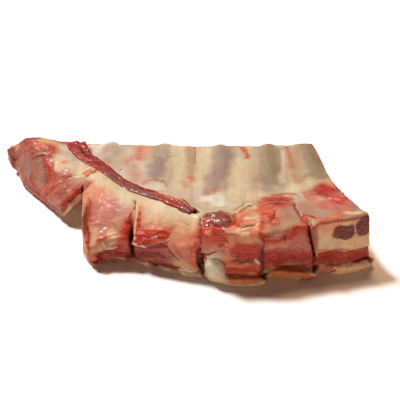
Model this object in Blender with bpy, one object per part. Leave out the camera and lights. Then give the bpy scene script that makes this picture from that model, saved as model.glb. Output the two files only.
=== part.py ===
# Raw lamb riblets: a strip of breast with its ribs, lying membrane side up.
# The near edge is the sawn breast edge, parted into blocks by knife cuts;
# the far edge is sawn across the ribs; the left end is a thin flank tip.
# Tables are in millimetres and become metres through MM. X runs along the
# strip, Y from the breast edge to the rib edge, Z up from the board.
import math

import bmesh
import bpy
from mathutils import Vector

MM = 0.001

# Driving sizes (mm)
HALF_LENGTH = 116.0
HALF_DEPTH = 58.0
BLANK_MARGIN = 6.0  # the blanks reach this far past the strip before it is trimmed
BLANK_TOP = 45.0
BLANK_FLOOR = -12.0
CUTTER_FLOOR = -24.0  # cutters reach below the blanks that they trim
SURFACE_STEP = 4.2  # facet size of the membrane side
HIDDEN_STEP = 6.5  # facet size of the fat seam and the underside
GAP = 0.3  # clearance between neighbouring tissues

# Membrane side, section by section along X: the brow is the top of the
# breast face, the crest the highest line behind it, and the valley the
# trough in front of the ribs. Each pair is (y, z); the last value is the
# height of the rib edge.
SECTIONS = [
    # x, brow, crest, valley, rib edge z
    (-110, (0, 24), (20, 28), (34, 28), 27),
    (-93, (-5, 24), (18, 28), (34, 28), 29),
    (-74, (-25, 20), (16, 28), (30, 27), 26),
    (-56, (-40, 17), (15, 29), (27, 26.5), 26),
    (-50, (-41, 15), (13, 30), (24, 26.3), 26.3),
    (-24, (-41, 18), (-11, 31), (8, 24.8), 27.2),
    (0, (-46, 20), (-22, 33), (-2, 24.2), 28),
    (16, (-50, 22), (-36, 34), (-8, 24.2), 28.6),
    (18.5, (-53, 35), (-44, 37), (-8, 24.2), 28.7),
    (50, (-54, 35), (-44, 37), (-7, 24.5), 30.8),
    (62, (-52, 34), (-37, 37), (-4, 25.3), 31.9),
    (80, (-46, 36.2), (-33, 36.4), (0, 25.6), 33.3),
    (112, (-38, 36.8), (-31, 36.6), (6, 27), 34.5),
]
RIB_EDGE = ((88.5, 39.0), (-93.0, 54.5))  # the saw line across the ribs

# Flank tip: a thin flap whose near edge stands off the board, and climbs
# along its cut side to the notch, where the second block begins
TIP_EDGE = [
    # x, y, underside z, top z
    (-HALF_LENGTH, 56, 8, 17),
    (-113, 52.5, 6, 16),
    (-108.5, 49.5, 3, 14),
    (-105.5, 42, 2, 11),
    (-102, 35, 1.5, 9),
    (-96.5, 28.5, 1.5, 9),
    (-89, 20.5, 2, 9.5),
    (-80.5, 10.5, 5, 12),
    (-74, 2.5, 6.5, 13.5),
    (-70.2, -1.5, 7, 14),
    (-65.4, -0.8, 11, 18),
    (-62, 1.2, 14, 21),
    (-58.5, 4, 18, 24.5),
    (-55.2, 8, 20, 27),
]
TIP_REACH = 22.0  # how far in from the edge its rounding ends
TIP_OVERRUN = 0.4  # how far that runs on outside the edge, in shares of its reach
TIP_HOLLOW = 20.0  # how far in from the edge the underside comes down to the board
HOLLOW_FADES = (-58.5, -52.0)  # x range over which it comes down to the second block
TIP_ENDS_AT_X = -54.0

# Underside: flat on the board, curling up towards the rib edge, and arched
# behind the second block's foot
LIFT_FROM_Y = -4.0
LIFT_AT_RIB_EDGE = 11.0
LIFT_FADES = (-88.0, -30.0)  # x range over which the flank end settles to the board
ARCH_CENTRE = (-33.0, -42.0)
ARCH_RADIUS = 14.0
ARCH_LIFT = 3.5

# Outlines, counter-clockwise from above: (x, y) at the board, then where
# the same corner stands at the height LEAN_TOP
LEAN_TOP = 38.0
LEAN_OUTLINE = [
    ((-54, -30), (-51.5, -34)),
    ((-50.5, -40.5), (-49.5, -41)),
    ((-45.5, -42.3), (-44, -41)),
    ((-41, -38.5), (-40.5, -41)),
    ((-25, -38), (-24, -41)),
    ((-22, -38), (-21.5, -42)),
    ((17, -50), (17, -50)),
    ((19.5, -53), (19, -52.5)),
    ((52, -55.5), (50, -54)),
    ((54, -50), (52, -53.5)),
    ((82, -49.5), (76, -47.5)),
    ((84, -45), (79, -46)),
    ((99, -46), (95, -42)),
    ((114.5, -40.5), (109.5, -37)),
    ((110, -33), (106.2, -33)),
    ((106.5, -26), (103, -26.5)),
    ((104.5, -15), (101.7, -15)),
    ((102, -3), (100, -3)),
    ((98.5, 10), (96.5, 9.5)),
    ((96, 17), (94.4, 17)),
    ((93, 30), (91.5, 30)),
    ((90, 39), (88.5, 39)),
    ((-70, 52.5), (-70, 52.5)),
    ((-92, 54.6), (-92, 54.4)),
    ((-108, 57.6), (-106, 56)),
    *(((x, y), (x, y)) for x, y, _, _ in TIP_EDGE),
]
FAT_OUTLINE = [
    (-54, -30),
    (-50.3, -40.5),
    (-45.5, -43),
    (-41.5, -38.5),
    (-25, -38),
    (-22.5, -38.5),
    (17, -52),
    (20, -55),
    (31, -57),
    (54.5, -HALF_DEPTH),
    (54.8, -50.5),
    (83.8, -53.4),
    (84.2, -46),
    (97, -48),
    (107, -45.5),
    (HALF_LENGTH, -41),
    (111.5, -33),
    (107.5, -26),
    (105.5, -15),
    (103, -3),
    (99.5, 10),
    (97, 17),
    (94, 30),
    (90.5, 39),
    (-70, 52.5),
    (-92, 54.8),
    (-107, HALF_DEPTH),
    *((x, y) for x, y, _, _ in TIP_EDGE),
]

# Outer fat: (x, thickness at the breast edge)
FAT_THICKNESS = [(-116, 3.0), (-24, 2.6), (16, 2.2), (19, 5.0), (116, 5.5)]
FAT_AT_RIB_EDGE = 4.0
KNOB_CENTRE = (23.5, -50.5, 8.0)  # the bare white swelling of the fourth block
KNOB_RADII = (6.5, 6.0, 9.5)

# Knife cuts between the blocks: the cut's line on the breast face and at its
# inner end, each at the board and at the height LEAN_TOP, and its opening at
# the face, at the board and the top
CUTS = [
    {
        "name": "cut_flank",
        "face": ((-54.5, 5.8), (-54.5, 5.8)),
        "inner": ((-47.5, 16.5), (-47.5, 16.5)),
        "width": (0.8, 1.4),
        "lowest": 25.0,
    },
    {
        "name": "cut_2_3",
        "face": ((-24, -38), (-25, -41)),
        "inner": ((-22.5, -27), (-22.3, -18)),
        "width": (3.4, 8.0),
        "lowest": BLANK_FLOOR,
    },
    {
        "name": "cut_3_4",
        "face": ((18, -52), (16.8, -52)),
        "inner": ((17, -34), (16.3, -36)),
        "width": (4.2, 1.0),
        "lowest": BLANK_FLOOR,
    },
    {
        "name": "cut_4_5",
        "face": ((54.5, -55), (50.5, -55)),
        "inner": ((51.5, -36), (50.0, -47)),
        "width": (3.4, 1.0),
        "lowest": BLANK_FLOOR,
    },
    {
        "name": "cut_5_6",
        "face": ((83.5, -47), (75, -48)),
        "inner": ((80, -30), (71, -32)),
        "width": (2.8, 1.4),
        "lowest": BLANK_FLOOR,
    },
]
CUT_OVERSHOOT = 9.0  # how far a cutter stands out of the face
CUT_INNER_WIDTH = 0.7

# Ribs: x at the saw line, and (x, y) of the front end, where bone turns to gristle
RIBS = [
    (-43, (-44.5, 31.5)),
    (-7, (-10.5, 3)),
    (29.5, (24, -2)),
    (61, (56, 0)),
    (83, (88, 10)),
]
RIB_OVERSHOOT = 4.0  # how far a bar runs past the saw line, which trims it
RIB_HALF_WIDTH = 5.2
RIB_HALF_THICKNESS = 3.4
RIB_PROUD = 1.6  # how far a rib swells above the membrane between the ribs
RIB_TIP_SHARE = 0.7  # size of the front end, against the sawn end
RIB_POINTS = 9
RIB_BED_SHARE = 0.1  # how far a bed runs on past its rib, in steps of the route

# Skirt: the cut edge of the diaphragm, a cord of muscle across the membrane
SKIRT_ROUTE = [
    (-64.5, 56),
    (-63.5, 47),
    (-60, 38.5),
    (-55, 32),
    (-43, 19),
    (-30.2, 3.5),
    (-17.2, -7.5),
    (-5, -16),
    (6.8, -25),
    (14, -32.5),
]
SKIRT_HALF_WIDTH = 2.9
SKIRT_HALF_THICKNESS = 2.4
SKIRT_PROUD = 1.9
SKIRT_END_SHARE = 0.7
SKIRT_STEPS = 4  # points between two neighbours of the route
SKIRT_BED_SHARE = 0.3  # how far the bed runs on past the cord, in steps of its route

# Skirt stub: the dark wet scrap of the same muscle left on the fourth block
STUB_CENTRE = (27.0, -40.5)
STUB_RADII = (10.5, 8.5, 3.4)
STUB_TURN = math.radians(-14)
STUB_PROUD = 1.7

PROFILE_SIDES = 12

# Breastbone: the sawn gristle and bone of the last block, right of its cut
BONE_ALONG = (31.0, 8.5)  # direction of its sawn face
BONE_REACH = 48.0  # past the end of the strip, which trims it
BONE_DEPTH = 13.0
BONE_BOTTOM = 14.8
BONE_TOP = 34.8


def clamp(value, low=0.0, high=1.0):
    return max(low, min(high, value))


def ease(share):
    share = clamp(share)
    return share * share * (3.0 - 2.0 * share)


def blend(a, b, share):
    """Between two numbers, or two tuples nested alike."""
    if isinstance(a, tuple):
        return tuple(blend(p, q, share) for p, q in zip(a, b))
    return a + (b - a) * share


def table_at(rows, x):
    """The row of a table at x, read between the two rows beside it."""
    rows = [(row[0], tuple(row[1:])) for row in rows]
    if x <= rows[0][0]:
        return rows[0][1]
    for (x0, low), (x1, high) in zip(rows, rows[1:]):
        if x <= x1:
            return blend(low, high, ease((x - x0) / (x1 - x0)))
    return rows[-1][1]


def rib_edge_y(x):
    (x0, y0), (x1, y1) = RIB_EDGE
    return y0 + (y1 - y0) * (x - x0) / (x1 - x0)


def membrane_height(x, y):
    brow, crest, valley, rib_edge_z = table_at(SECTIONS, x)
    if y < crest[0]:
        share = clamp((y - brow[0]) / (crest[0] - brow[0]))
        height = blend(brow[1], crest[1], math.sin(share * math.pi / 2))
    elif y < valley[0]:
        height = blend(crest[1], valley[1], ease((y - crest[0]) / (valley[0] - crest[0])))
    else:
        share = (y - valley[0]) / (rib_edge_y(x) - valley[0])
        height = blend(valley[1], rib_edge_z, min(share, 1.2) ** 2)
    if x > TIP_ENDS_AT_X:
        return height
    edge_y, _, edge_top = table_at(TIP_EDGE, x)
    share = clamp((y - edge_y) / TIP_REACH, -TIP_OVERRUN)
    return blend(edge_top, height, math.sin(share * math.pi / 2))


def board_height(x, y):
    """The underside: it leaves the board behind, under the tip's edge and in the arch."""
    share = clamp((y - LIFT_FROM_Y) / (rib_edge_y(x) - LIFT_FROM_Y), 0.0, 1.2)
    settled = ease((x - LIFT_FADES[0]) / (LIFT_FADES[1] - LIFT_FADES[0]))
    edge_y, edge_lift, _ = table_at(TIP_EDGE, x)
    hollow = 1.0 - ease(abs(y - edge_y) / TIP_HOLLOW)
    hollow *= 1.0 - ease((x - HOLLOW_FADES[0]) / (HOLLOW_FADES[1] - HOLLOW_FADES[0]))
    arch = 1.0 - ease(math.dist((x, y), ARCH_CENTRE) / ARCH_RADIUS)
    return LIFT_AT_RIB_EDGE * share**2 * settled + edge_lift * hollow + ARCH_LIFT * arch


def seam_height(x, y):
    """The boundary between the lean and the fat below it."""
    (front,) = table_at(FAT_THICKNESS, x)
    share = ease((y + HALF_DEPTH) / (2 * HALF_DEPTH))
    return board_height(x, y) + blend(front, FAT_AT_RIB_EDGE, share)


def material(name, colour, roughness):
    made = bpy.data.materials.new(name)
    made.use_nodes = True
    made.diffuse_color = (*colour, 1.0)
    shader = made.node_tree.nodes["Principled BSDF"]
    shader.inputs["Base Color"].default_value = (*colour, 1.0)
    shader.inputs["Roughness"].default_value = roughness
    shader.inputs["Metallic"].default_value = 0.0
    return made


def new_object(name, data, collection, finish=None):
    obj = bpy.data.objects.new(name, data)
    collection.objects.link(obj)
    if finish is not None:
        data.materials.append(finish)
    else:
        obj.hide_render = True
        obj.display_type = "WIRE"
    return obj


def mesh_from(bm, name):
    bmesh.ops.recalc_face_normals(bm, faces=bm.faces)
    mesh = bpy.data.meshes.new(name)
    bm.to_mesh(mesh)
    bm.free()
    return mesh


def height_blank(name, height, step, collection, finish=None):
    """A block whose top is the surface height(x, y) over the whole strip."""
    half_x = HALF_LENGTH + BLANK_MARGIN
    half_y = HALF_DEPTH + BLANK_MARGIN
    floor = BLANK_FLOOR if finish else CUTTER_FLOOR
    bm = bmesh.new()
    bmesh.ops.create_grid(
        bm,
        x_segments=round(2 * half_x / step),
        y_segments=round(2 * half_y / step),
        size=1.0,
    )
    for vertex in bm.verts:
        x, y = vertex.co.x * half_x, vertex.co.y * half_y
        vertex.co = Vector((x, y, height(x, y))) * MM
    rim = [edge for edge in bm.edges if edge.is_boundary]
    lowered = bmesh.ops.extrude_edge_only(bm, edges=rim)["geom"]
    for item in lowered:
        if isinstance(item, bmesh.types.BMVert):
            item.co.z = floor * MM
    bmesh.ops.edgeloop_fill(
        bm, edges=[item for item in lowered if isinstance(item, bmesh.types.BMEdge)]
    )
    bmesh.ops.triangulate(bm, faces=bm.faces)
    return new_object(name, mesh_from(bm, name), collection, finish)


def outline_cutter(name, corners, collection):
    """A tall prism on the outline, whose top may stand askew of its foot."""
    bm = bmesh.new()

    def ring(height):
        places = [blend(low, high, height / LEAN_TOP) for low, high in corners]
        return [bm.verts.new(Vector((*place, height)) * MM) for place in places]

    foot, head = ring(CUTTER_FLOOR), ring(BLANK_TOP)
    bm.faces.new(head)
    bm.faces.new(reversed(foot))
    for i in range(len(corners)):
        j = (i + 1) % len(corners)
        bm.faces.new((foot[i], foot[j], head[j], head[i]))
    bmesh.ops.triangulate(bm, faces=bm.faces)
    return new_object(name, mesh_from(bm, name), collection)


def cut_line(cut, height, beyond):
    """Where a cut runs at a height: (start outside the face, inner end, direction)."""
    level = height / LEAN_TOP
    face = Vector(blend(*cut["face"], level))
    inner = Vector(blend(*cut["inner"], level))
    along = (inner - face).normalized()
    return face - along * beyond, inner, along


def box_between(name, corner_at, collection, finish=None):
    """A cube primitive whose corners are moved to corner_at(side, end, level)."""
    bm = bmesh.new()
    bmesh.ops.create_cube(bm, size=2.0)
    for vertex in bm.verts:
        vertex.co = Vector(corner_at(*vertex.co)) * MM
    bmesh.ops.triangulate(bm, faces=bm.faces)
    return new_object(name, mesh_from(bm, name), collection, finish)


def knife_cut(cut, collection):
    """A wedge, wide at the breast face and thin at its inner end."""

    def corner_at(side, end, level):
        height = BLANK_TOP if level > 0 else cut["lowest"]
        outer, inner, along = cut_line(cut, height, CUT_OVERSHOOT)
        width = cut["width"][1 if level > 0 else 0] if end < 0 else CUT_INNER_WIDTH
        across = Vector((along.y, -along.x)) * (side * width / 2)
        place = (outer if end < 0 else inner) + across
        return place.x, place.y, height

    return box_between(cut["name"], corner_at, collection)


def breastbone_blank(name, grow, collection, finish=None):
    """A box whose left side lies inside the last cut and which runs past the end."""
    cut = CUTS[-1]
    face_way = Vector(BONE_ALONG).normalized()

    def corner_at(side, end, level):
        height = BONE_TOP + grow if level > 0 else BONE_BOTTOM - grow
        outer, _, along = cut_line(cut, height, CUT_OVERSHOOT / 2)
        place = outer
        if end > 0:
            place = outer + along * (CUT_OVERSHOOT / 2 + BONE_DEPTH + grow)
        if side > 0:
            place = place + face_way * BONE_REACH
        return place.x, place.y, height

    return box_between(name, corner_at, collection, finish)


def oval_profile(name, half_width, half_thickness, collection):
    data = bpy.data.curves.new(name, "CURVE")
    data.dimensions = "2D"
    spline = data.splines.new("POLY")
    spline.points.add(PROFILE_SIDES - 1)
    spline.use_cyclic_u = True
    for i, point in enumerate(spline.points):
        turn = 2 * math.pi * i / PROFILE_SIDES
        point.co = (
            half_width * MM * math.cos(turn),
            half_thickness * MM * math.sin(turn),
            0.0,
            1.0,
        )
    return new_object(name, data, collection)


def bar(name, route, shares, profile, collection, finish=None):
    """A closed bar that sweeps the oval profile along the route."""
    data = bpy.data.curves.new(name + "_path", "CURVE")
    data.dimensions = "3D"
    data.twist_mode = "Z_UP"
    data.bevel_mode = "OBJECT"
    data.bevel_object = profile
    data.use_fill_caps = True
    spline = data.splines.new("POLY")
    spline.points.add(len(route) - 1)
    for point, place, share in zip(spline.points, route, shares):
        point.co = (*(c * MM for c in place), 1.0)
        point.radius = share
    path = bpy.data.objects.new(name + "_path", data)
    collection.objects.link(path)
    bpy.context.view_layer.update()
    graph = bpy.context.evaluated_depsgraph_get()
    mesh = bpy.data.meshes.new_from_object(path.evaluated_get(graph))
    bpy.data.objects.remove(path)
    bm = bmesh.new()
    bm.from_mesh(mesh)
    bmesh.ops.remove_doubles(bm, verts=bm.verts, dist=0.01 * MM)
    bmesh.ops.recalc_face_normals(bm, faces=bm.faces)
    bmesh.ops.triangulate(bm, faces=bm.faces)
    bm.to_mesh(mesh)
    bm.free()
    mesh.name = name
    return new_object(name, mesh, collection, finish)


def smooth_route(points, steps):
    """Points on a Catmull-Rom curve through the route's own points."""
    ends = [2 * Vector(points[0]) - Vector(points[1])]
    ends += [Vector(p) for p in points]
    ends += [2 * Vector(points[-1]) - Vector(points[-2])]
    curve = []
    for a, b, c, d in zip(ends, ends[1:], ends[2:], ends[3:]):
        for i in range(steps):
            t = i / steps
            curve.append(
                0.5
                * (
                    2 * b
                    + (c - a) * t
                    + (2 * a - 5 * b + 4 * c - d) * t**2
                    + (3 * b - a - 3 * c + d) * t**3
                )
            )
    curve.append(ends[-2])
    return curve


def rib_route(rib, sink):
    """Places along a rib, from the saw line to the front end."""
    back = Vector((rib[0], rib_edge_y(rib[0]) + RIB_OVERSHOOT))
    front = Vector(rib[1])
    places = []
    for i in range(RIB_POINTS):
        spot = back.lerp(front, i / (RIB_POINTS - 1))
        inside = min(spot.y, rib_edge_y(spot.x))
        slope_end = membrane_height(spot.x, inside) - sink
        places.append((spot.x, spot.y, slope_end))
    return places


def run_on(route, share):
    """The route with its last place moved on by a share of the last step."""
    last, before = Vector(route[-1]), Vector(route[-2])
    return route[:-1] + [tuple(last + (last - before) * share)]


def rib_shares():
    """Full size along the bone, thinning over its front third."""
    shares = []
    for i in range(RIB_POINTS):
        along = i / (RIB_POINTS - 1)
        shares.append(blend(1.0, RIB_TIP_SHARE, ease((along - 0.66) / 0.34)))
    return shares


def boolean(obj, operation, other):
    modifier = obj.modifiers.new(f"{operation.lower()}_{other.name}", "BOOLEAN")
    modifier.operation = operation
    modifier.object = other
    modifier.solver = "EXACT"


def build_ribs(parts, cutters, bone, lean, outline):
    profile = oval_profile("rib_profile", RIB_HALF_WIDTH, RIB_HALF_THICKNESS, cutters)
    bed_profile = oval_profile(
        "rib_bed_profile", RIB_HALF_WIDTH + GAP, RIB_HALF_THICKNESS + GAP, cutters
    )
    sink = RIB_HALF_THICKNESS - RIB_PROUD
    for number, rib in enumerate(RIBS, start=1):
        route = rib_route(rib, sink)
        solid = bar(f"rib_{number}", route, rib_shares(), profile, parts, bone)
        boolean(solid, "INTERSECT", outline)
        bed_route = run_on(route, RIB_BED_SHARE)
        bed = bar(f"rib_bed_{number}", bed_route, rib_shares(), bed_profile, cutters)
        boolean(lean, "DIFFERENCE", bed)


def build_skirt(parts, cutters, finish, lean, outline):
    profile = oval_profile("skirt_profile", SKIRT_HALF_WIDTH, SKIRT_HALF_THICKNESS, cutters)
    bed_profile = oval_profile(
        "skirt_bed_profile", SKIRT_HALF_WIDTH + GAP, SKIRT_HALF_THICKNESS + GAP, cutters
    )
    sink = SKIRT_HALF_THICKNESS - SKIRT_PROUD
    route = [
        (spot.x, spot.y, membrane_height(spot.x, min(spot.y, rib_edge_y(spot.x))) - sink)
        for spot in smooth_route(SKIRT_ROUTE, SKIRT_STEPS)
    ]
    last = len(route) - 1
    shares = [blend(1.0, SKIRT_END_SHARE, ease((i / last - 0.8) / 0.2)) for i in range(last + 1)]
    solid = bar("skirt", route, shares, profile, parts, finish)
    boolean(solid, "INTERSECT", outline)
    bed = bar("skirt_bed", run_on(route, SKIRT_BED_SHARE), shares, bed_profile, cutters)
    boolean(lean, "DIFFERENCE", bed)


def ellipsoid(name, centre, radii, collection, finish=None, turn=0.0):
    bm = bmesh.new()
    bmesh.ops.create_uvsphere(bm, u_segments=20, v_segments=12, radius=1.0)
    for vertex in bm.verts:
        for axis in range(3):
            vertex.co[axis] *= radii[axis] * MM
    obj = new_object(name, mesh_from(bm, name), collection, finish)
    obj.location = Vector(centre) * MM
    obj.rotation_euler.z = turn
    return obj


def build_stub(parts, cutters, finish, lean, cuts):
    height = membrane_height(*STUB_CENTRE) + STUB_PROUD - STUB_RADII[2]
    centre = (*STUB_CENTRE, height)
    bed_radii = [radius + GAP for radius in STUB_RADII]
    solid = ellipsoid("skirt_stub", centre, STUB_RADII, parts, finish, STUB_TURN)
    bed = ellipsoid("skirt_stub_bed", centre, bed_radii, cutters, None, STUB_TURN)
    boolean(lean, "DIFFERENCE", bed)
    for cut in cuts:
        boolean(solid, "DIFFERENCE", cut)


def build():
    for obj in list(bpy.data.objects):
        bpy.data.objects.remove(obj)
    parts = bpy.data.collections.new("lamb_riblets")
    cutters = bpy.data.collections.new("cutters")
    bpy.context.scene.collection.children.link(parts)
    bpy.context.scene.collection.children.link(cutters)

    red = material("lean", (0.50, 0.11, 0.09), 0.38)
    cream = material("fat", (0.80, 0.62, 0.45), 0.45)
    bone = material("bone", (0.72, 0.58, 0.46), 0.4)
    gristle = material("gristle", (0.84, 0.68, 0.48), 0.42)
    dark = material("skirt", (0.32, 0.05, 0.05), 0.3)

    lean_outline = outline_cutter("lean_outline", LEAN_OUTLINE, cutters)
    fat_outline = outline_cutter("fat_outline", [(p, p) for p in FAT_OUTLINE], cutters)
    below_seam = height_blank("below_seam", seam_height, HIDDEN_STEP, cutters)
    below_fat = height_blank("below_fat", board_height, HIDDEN_STEP, cutters)
    cuts = [knife_cut(cut, cutters) for cut in CUTS]

    lean = height_blank("lean", membrane_height, SURFACE_STEP, parts, red)
    boolean(lean, "INTERSECT", lean_outline)
    boolean(lean, "DIFFERENCE", below_seam)

    fat = height_blank("fat_cap", lambda x, y: seam_height(x, y) - GAP, HIDDEN_STEP, parts, cream)
    knob = ellipsoid("knob", KNOB_CENTRE, KNOB_RADII, cutters)
    knob_bed = ellipsoid("knob_bed", KNOB_CENTRE, [r + GAP for r in KNOB_RADII], cutters)
    boolean(fat, "UNION", knob)
    boolean(fat, "INTERSECT", fat_outline)
    boolean(fat, "DIFFERENCE", below_fat)
    boolean(lean, "DIFFERENCE", knob_bed)

    breastbone = breastbone_blank("breastbone", 0.0, parts, gristle)
    boolean(breastbone, "INTERSECT", lean_outline)
    boolean(lean, "DIFFERENCE", breastbone_blank("breastbone_bed", GAP, cutters))

    build_ribs(parts, cutters, bone, lean, lean_outline)
    build_skirt(parts, cutters, dark, lean, lean_outline)
    build_stub(parts, cutters, dark, lean, cuts)

    for obj in (lean, fat, breastbone):
        for cut in cuts:
            boolean(obj, "DIFFERENCE", cut)


build()
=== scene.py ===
import math

import bmesh
import bpy
import numpy as np
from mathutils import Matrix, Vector
from mathutils.bvhtree import BVHTree


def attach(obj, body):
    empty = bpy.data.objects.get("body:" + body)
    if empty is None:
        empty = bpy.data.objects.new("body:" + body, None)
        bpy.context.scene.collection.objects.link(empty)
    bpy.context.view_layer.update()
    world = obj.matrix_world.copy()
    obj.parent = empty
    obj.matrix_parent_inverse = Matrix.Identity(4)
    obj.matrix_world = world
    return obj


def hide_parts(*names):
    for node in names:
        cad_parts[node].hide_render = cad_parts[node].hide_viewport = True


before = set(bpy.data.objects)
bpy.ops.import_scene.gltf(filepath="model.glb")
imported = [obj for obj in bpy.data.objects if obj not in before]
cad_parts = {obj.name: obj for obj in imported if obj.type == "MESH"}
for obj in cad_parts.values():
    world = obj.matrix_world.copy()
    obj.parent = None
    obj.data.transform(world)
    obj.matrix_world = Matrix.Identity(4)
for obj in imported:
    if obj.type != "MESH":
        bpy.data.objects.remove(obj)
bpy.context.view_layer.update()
mm = 0.001

# camera, lights and floor
cameraSizes = {
    "eye": (15.5, -340.5, 283.2),
    "pitch": math.radians(52),  # 38 degrees down
    "lens": 63.0,
    "sensor": 36.0,
    "picture": 400,  # pixels each way
}


def makeCamera(sizes):
    data = bpy.data.cameras.new("camera")
    data.lens = sizes["lens"]
    data.sensor_width = sizes["sensor"]
    camera = bpy.data.objects.new("camera", data)
    camera.location = Vector(sizes["eye"]) * mm
    camera.rotation_euler = (sizes["pitch"], 0, 0)
    bpy.context.scene.collection.objects.link(camera)
    bpy.context.scene.camera = camera


lightSizes = {
    "window": {"from": (-0.58, 0.46, 1.0), "energy": 3.8, "colour": (0.92, 0.95, 0.98), "angle": 9},
    "lamp": {"from": (-0.15, 0.45, 1.0), "energy": 1.5, "colour": (1.0, 0.65, 0.37), "angle": 16},
    "front": {"from": (-0.1, -1.0, 0.035), "energy": 1.55, "colour": (1.0, 0.76, 0.57), "angle": 40},
    "roomColour": (0.036, 0.019, 0.011),
}


def makeLights(sizes):
    for name in ("window", "lamp", "front"):
        light = sizes[name]
        data = bpy.data.lights.new(name, "SUN")
        data.energy = light["energy"]
        data.color = light["colour"]
        data.angle = math.radians(light["angle"])
        sun = bpy.data.objects.new(name, data)
        sun.rotation_euler = Vector(light["from"]).to_track_quat("Z", "Y").to_euler()
        bpy.context.scene.collection.objects.link(sun)
    world = bpy.data.worlds.new("room")
    world.use_nodes = True
    room = world.node_tree.nodes["Background"]
    room.inputs["Color"].default_value = (*sizes["roomColour"], 1)
    bpy.context.scene.world = world
    bpy.context.scene.view_settings.view_transform = "Standard"


floorSizes = {"half": 20000, "colour": (0.95, 0.95, 0.95, 1), "roughness": 0.7}


def makeFloor(sizes):
    bm = bmesh.new()
    bmesh.ops.create_grid(bm, x_segments=1, y_segments=1, size=sizes["half"] * mm)
    mesh = bpy.data.meshes.new("floor")
    bm.to_mesh(mesh)
    bm.free()
    floor = bpy.data.objects.new("floor", mesh)
    bpy.context.scene.collection.objects.link(floor)
    paper = bpy.data.materials.new("paper")
    paper.use_nodes = True
    shader = paper.node_tree.nodes["Principled BSDF"]
    shader.inputs["Base Color"].default_value = sizes["colour"]
    shader.inputs["Roughness"].default_value = sizes["roughness"]
    mesh.materials.append(paper)


makeCamera(cameraSizes)
makeLights(lightSizes)
makeFloor(floorSizes)
print("camera, lights and floor are up")


# places: a pixel of the picture, or a place in mm, on the solids
def solidTree(nodes):
    corners, faces = [], []
    for node in nodes:
        start = len(corners)
        corners += [vertex.co.copy() for vertex in node.data.vertices]
        faces += [[start + i for i in face.vertices] for face in node.data.polygons]
    return BVHTree.FromPolygons(corners, faces)


solids = solidTree(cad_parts.values())  # the skin takes the lean's place here, once it is shaped
middlePixel = cameraSizes["picture"] / 2
focalPixels = cameraSizes["lens"] / cameraSizes["sensor"] * cameraSizes["picture"]
eyeForward = (0, math.sin(cameraSizes["pitch"]), -math.cos(cameraSizes["pitch"]))
eyeUp = (0, math.cos(cameraSizes["pitch"]), math.sin(cameraSizes["pitch"]))


def lookThrough(pixel):  # the eye and the way through a pixel
    right = Vector((1, 0, 0)) * (pixel[0] - middlePixel) / focalPixels
    down = Vector(eyeUp) * (pixel[1] - middlePixel) / focalPixels
    way = Vector(eyeForward) + right - down
    return Vector(cameraSizes["eye"]) * mm, way.normalized()


def inPicture(places):  # the pixels that places in mm are seen at
    away = places - np.array(cameraSizes["eye"])
    depth = away @ np.array(eyeForward)
    rise = away @ np.array(eyeUp)
    return middlePixel + focalPixels * away[:, 0] / depth, middlePixel - focalPixels * rise / depth


searchSteps = range(330, 560, 3)  # mm from the eye, where a ray misses the solids
routeStep = 3.0  # between the places of a route, in its own unit


def onSolids(place):
    if len(place) == 3:  # millimetres: the nearest point of the solids
        spot, normal, _, _ = solids.find_nearest(Vector(place) * mm)
        return np.array(spot) / mm, np.array(normal)
    eye, way = lookThrough(place)
    spot, normal, _, _ = solids.ray_cast(eye, way)
    if spot is None:  # just outside the outline: where the ray passes nearest
        nearest = [solids.find_nearest(eye + way * (far * mm)) for far in searchSteps]
        spot, normal, _, _ = min(nearest, key=lambda hit: hit[3])
    return np.array(spot) / mm, np.array(normal)


found = {}  # routes that are already on the solids


def routeOnSolids(route):  # its places in mm, and the way they face on the whole
    if route not in found:
        dense = [route[0]]
        for start, end in zip(route, route[1:]):
            start, end = np.array(start), np.array(end)
            count = max(1, int(np.linalg.norm(end - start) / routeStep))
            dense += [tuple(start + (end - start) * (i + 1) / count) for i in range(count)]
        pairs = [onSolids(place) for place in dense]
        facing = np.mean([normal for _, normal in pairs], axis=0)
        found[route] = np.array([spot for spot, _ in pairs]), facing
    return found[route]


# node graphs, for materials and for geometry
class Wire:  # a socket that takes part in sums
    def __init__(self, graph, socket):
        self.graph = graph
        self.socket = socket

    def calc(self, operation, a, b):
        return self.graph.add("ShaderNodeMath", {"operation": operation}, {0: a, 1: b})

    def __add__(self, other):
        return self.calc("ADD", self, other)

    def __sub__(self, other):
        return self.calc("SUBTRACT", self, other)

    def __rsub__(self, other):
        return self.calc("SUBTRACT", other, self)

    def __mul__(self, other):
        return self.calc("MULTIPLY", self, other)

    def __truediv__(self, other):
        return self.calc("DIVIDE", self, other)

    __radd__ = __add__
    __rmul__ = __mul__

    def size(self):  # without its sign
        return self.graph.add("ShaderNodeMath", {"operation": "ABSOLUTE"}, {0: self})

    def step(self, low, high):  # 0 below low, 1 above high, smooth between
        return self.graph.add(
            "ShaderNodeMapRange",
            {"interpolation_type": "SMOOTHSTEP"},
            {"Value": self, "From Min": low, "From Max": high},
        )

    def beside(self, output):  # another output of the same node
        return Wire(self.graph, self.socket.node.outputs[output])


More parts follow.
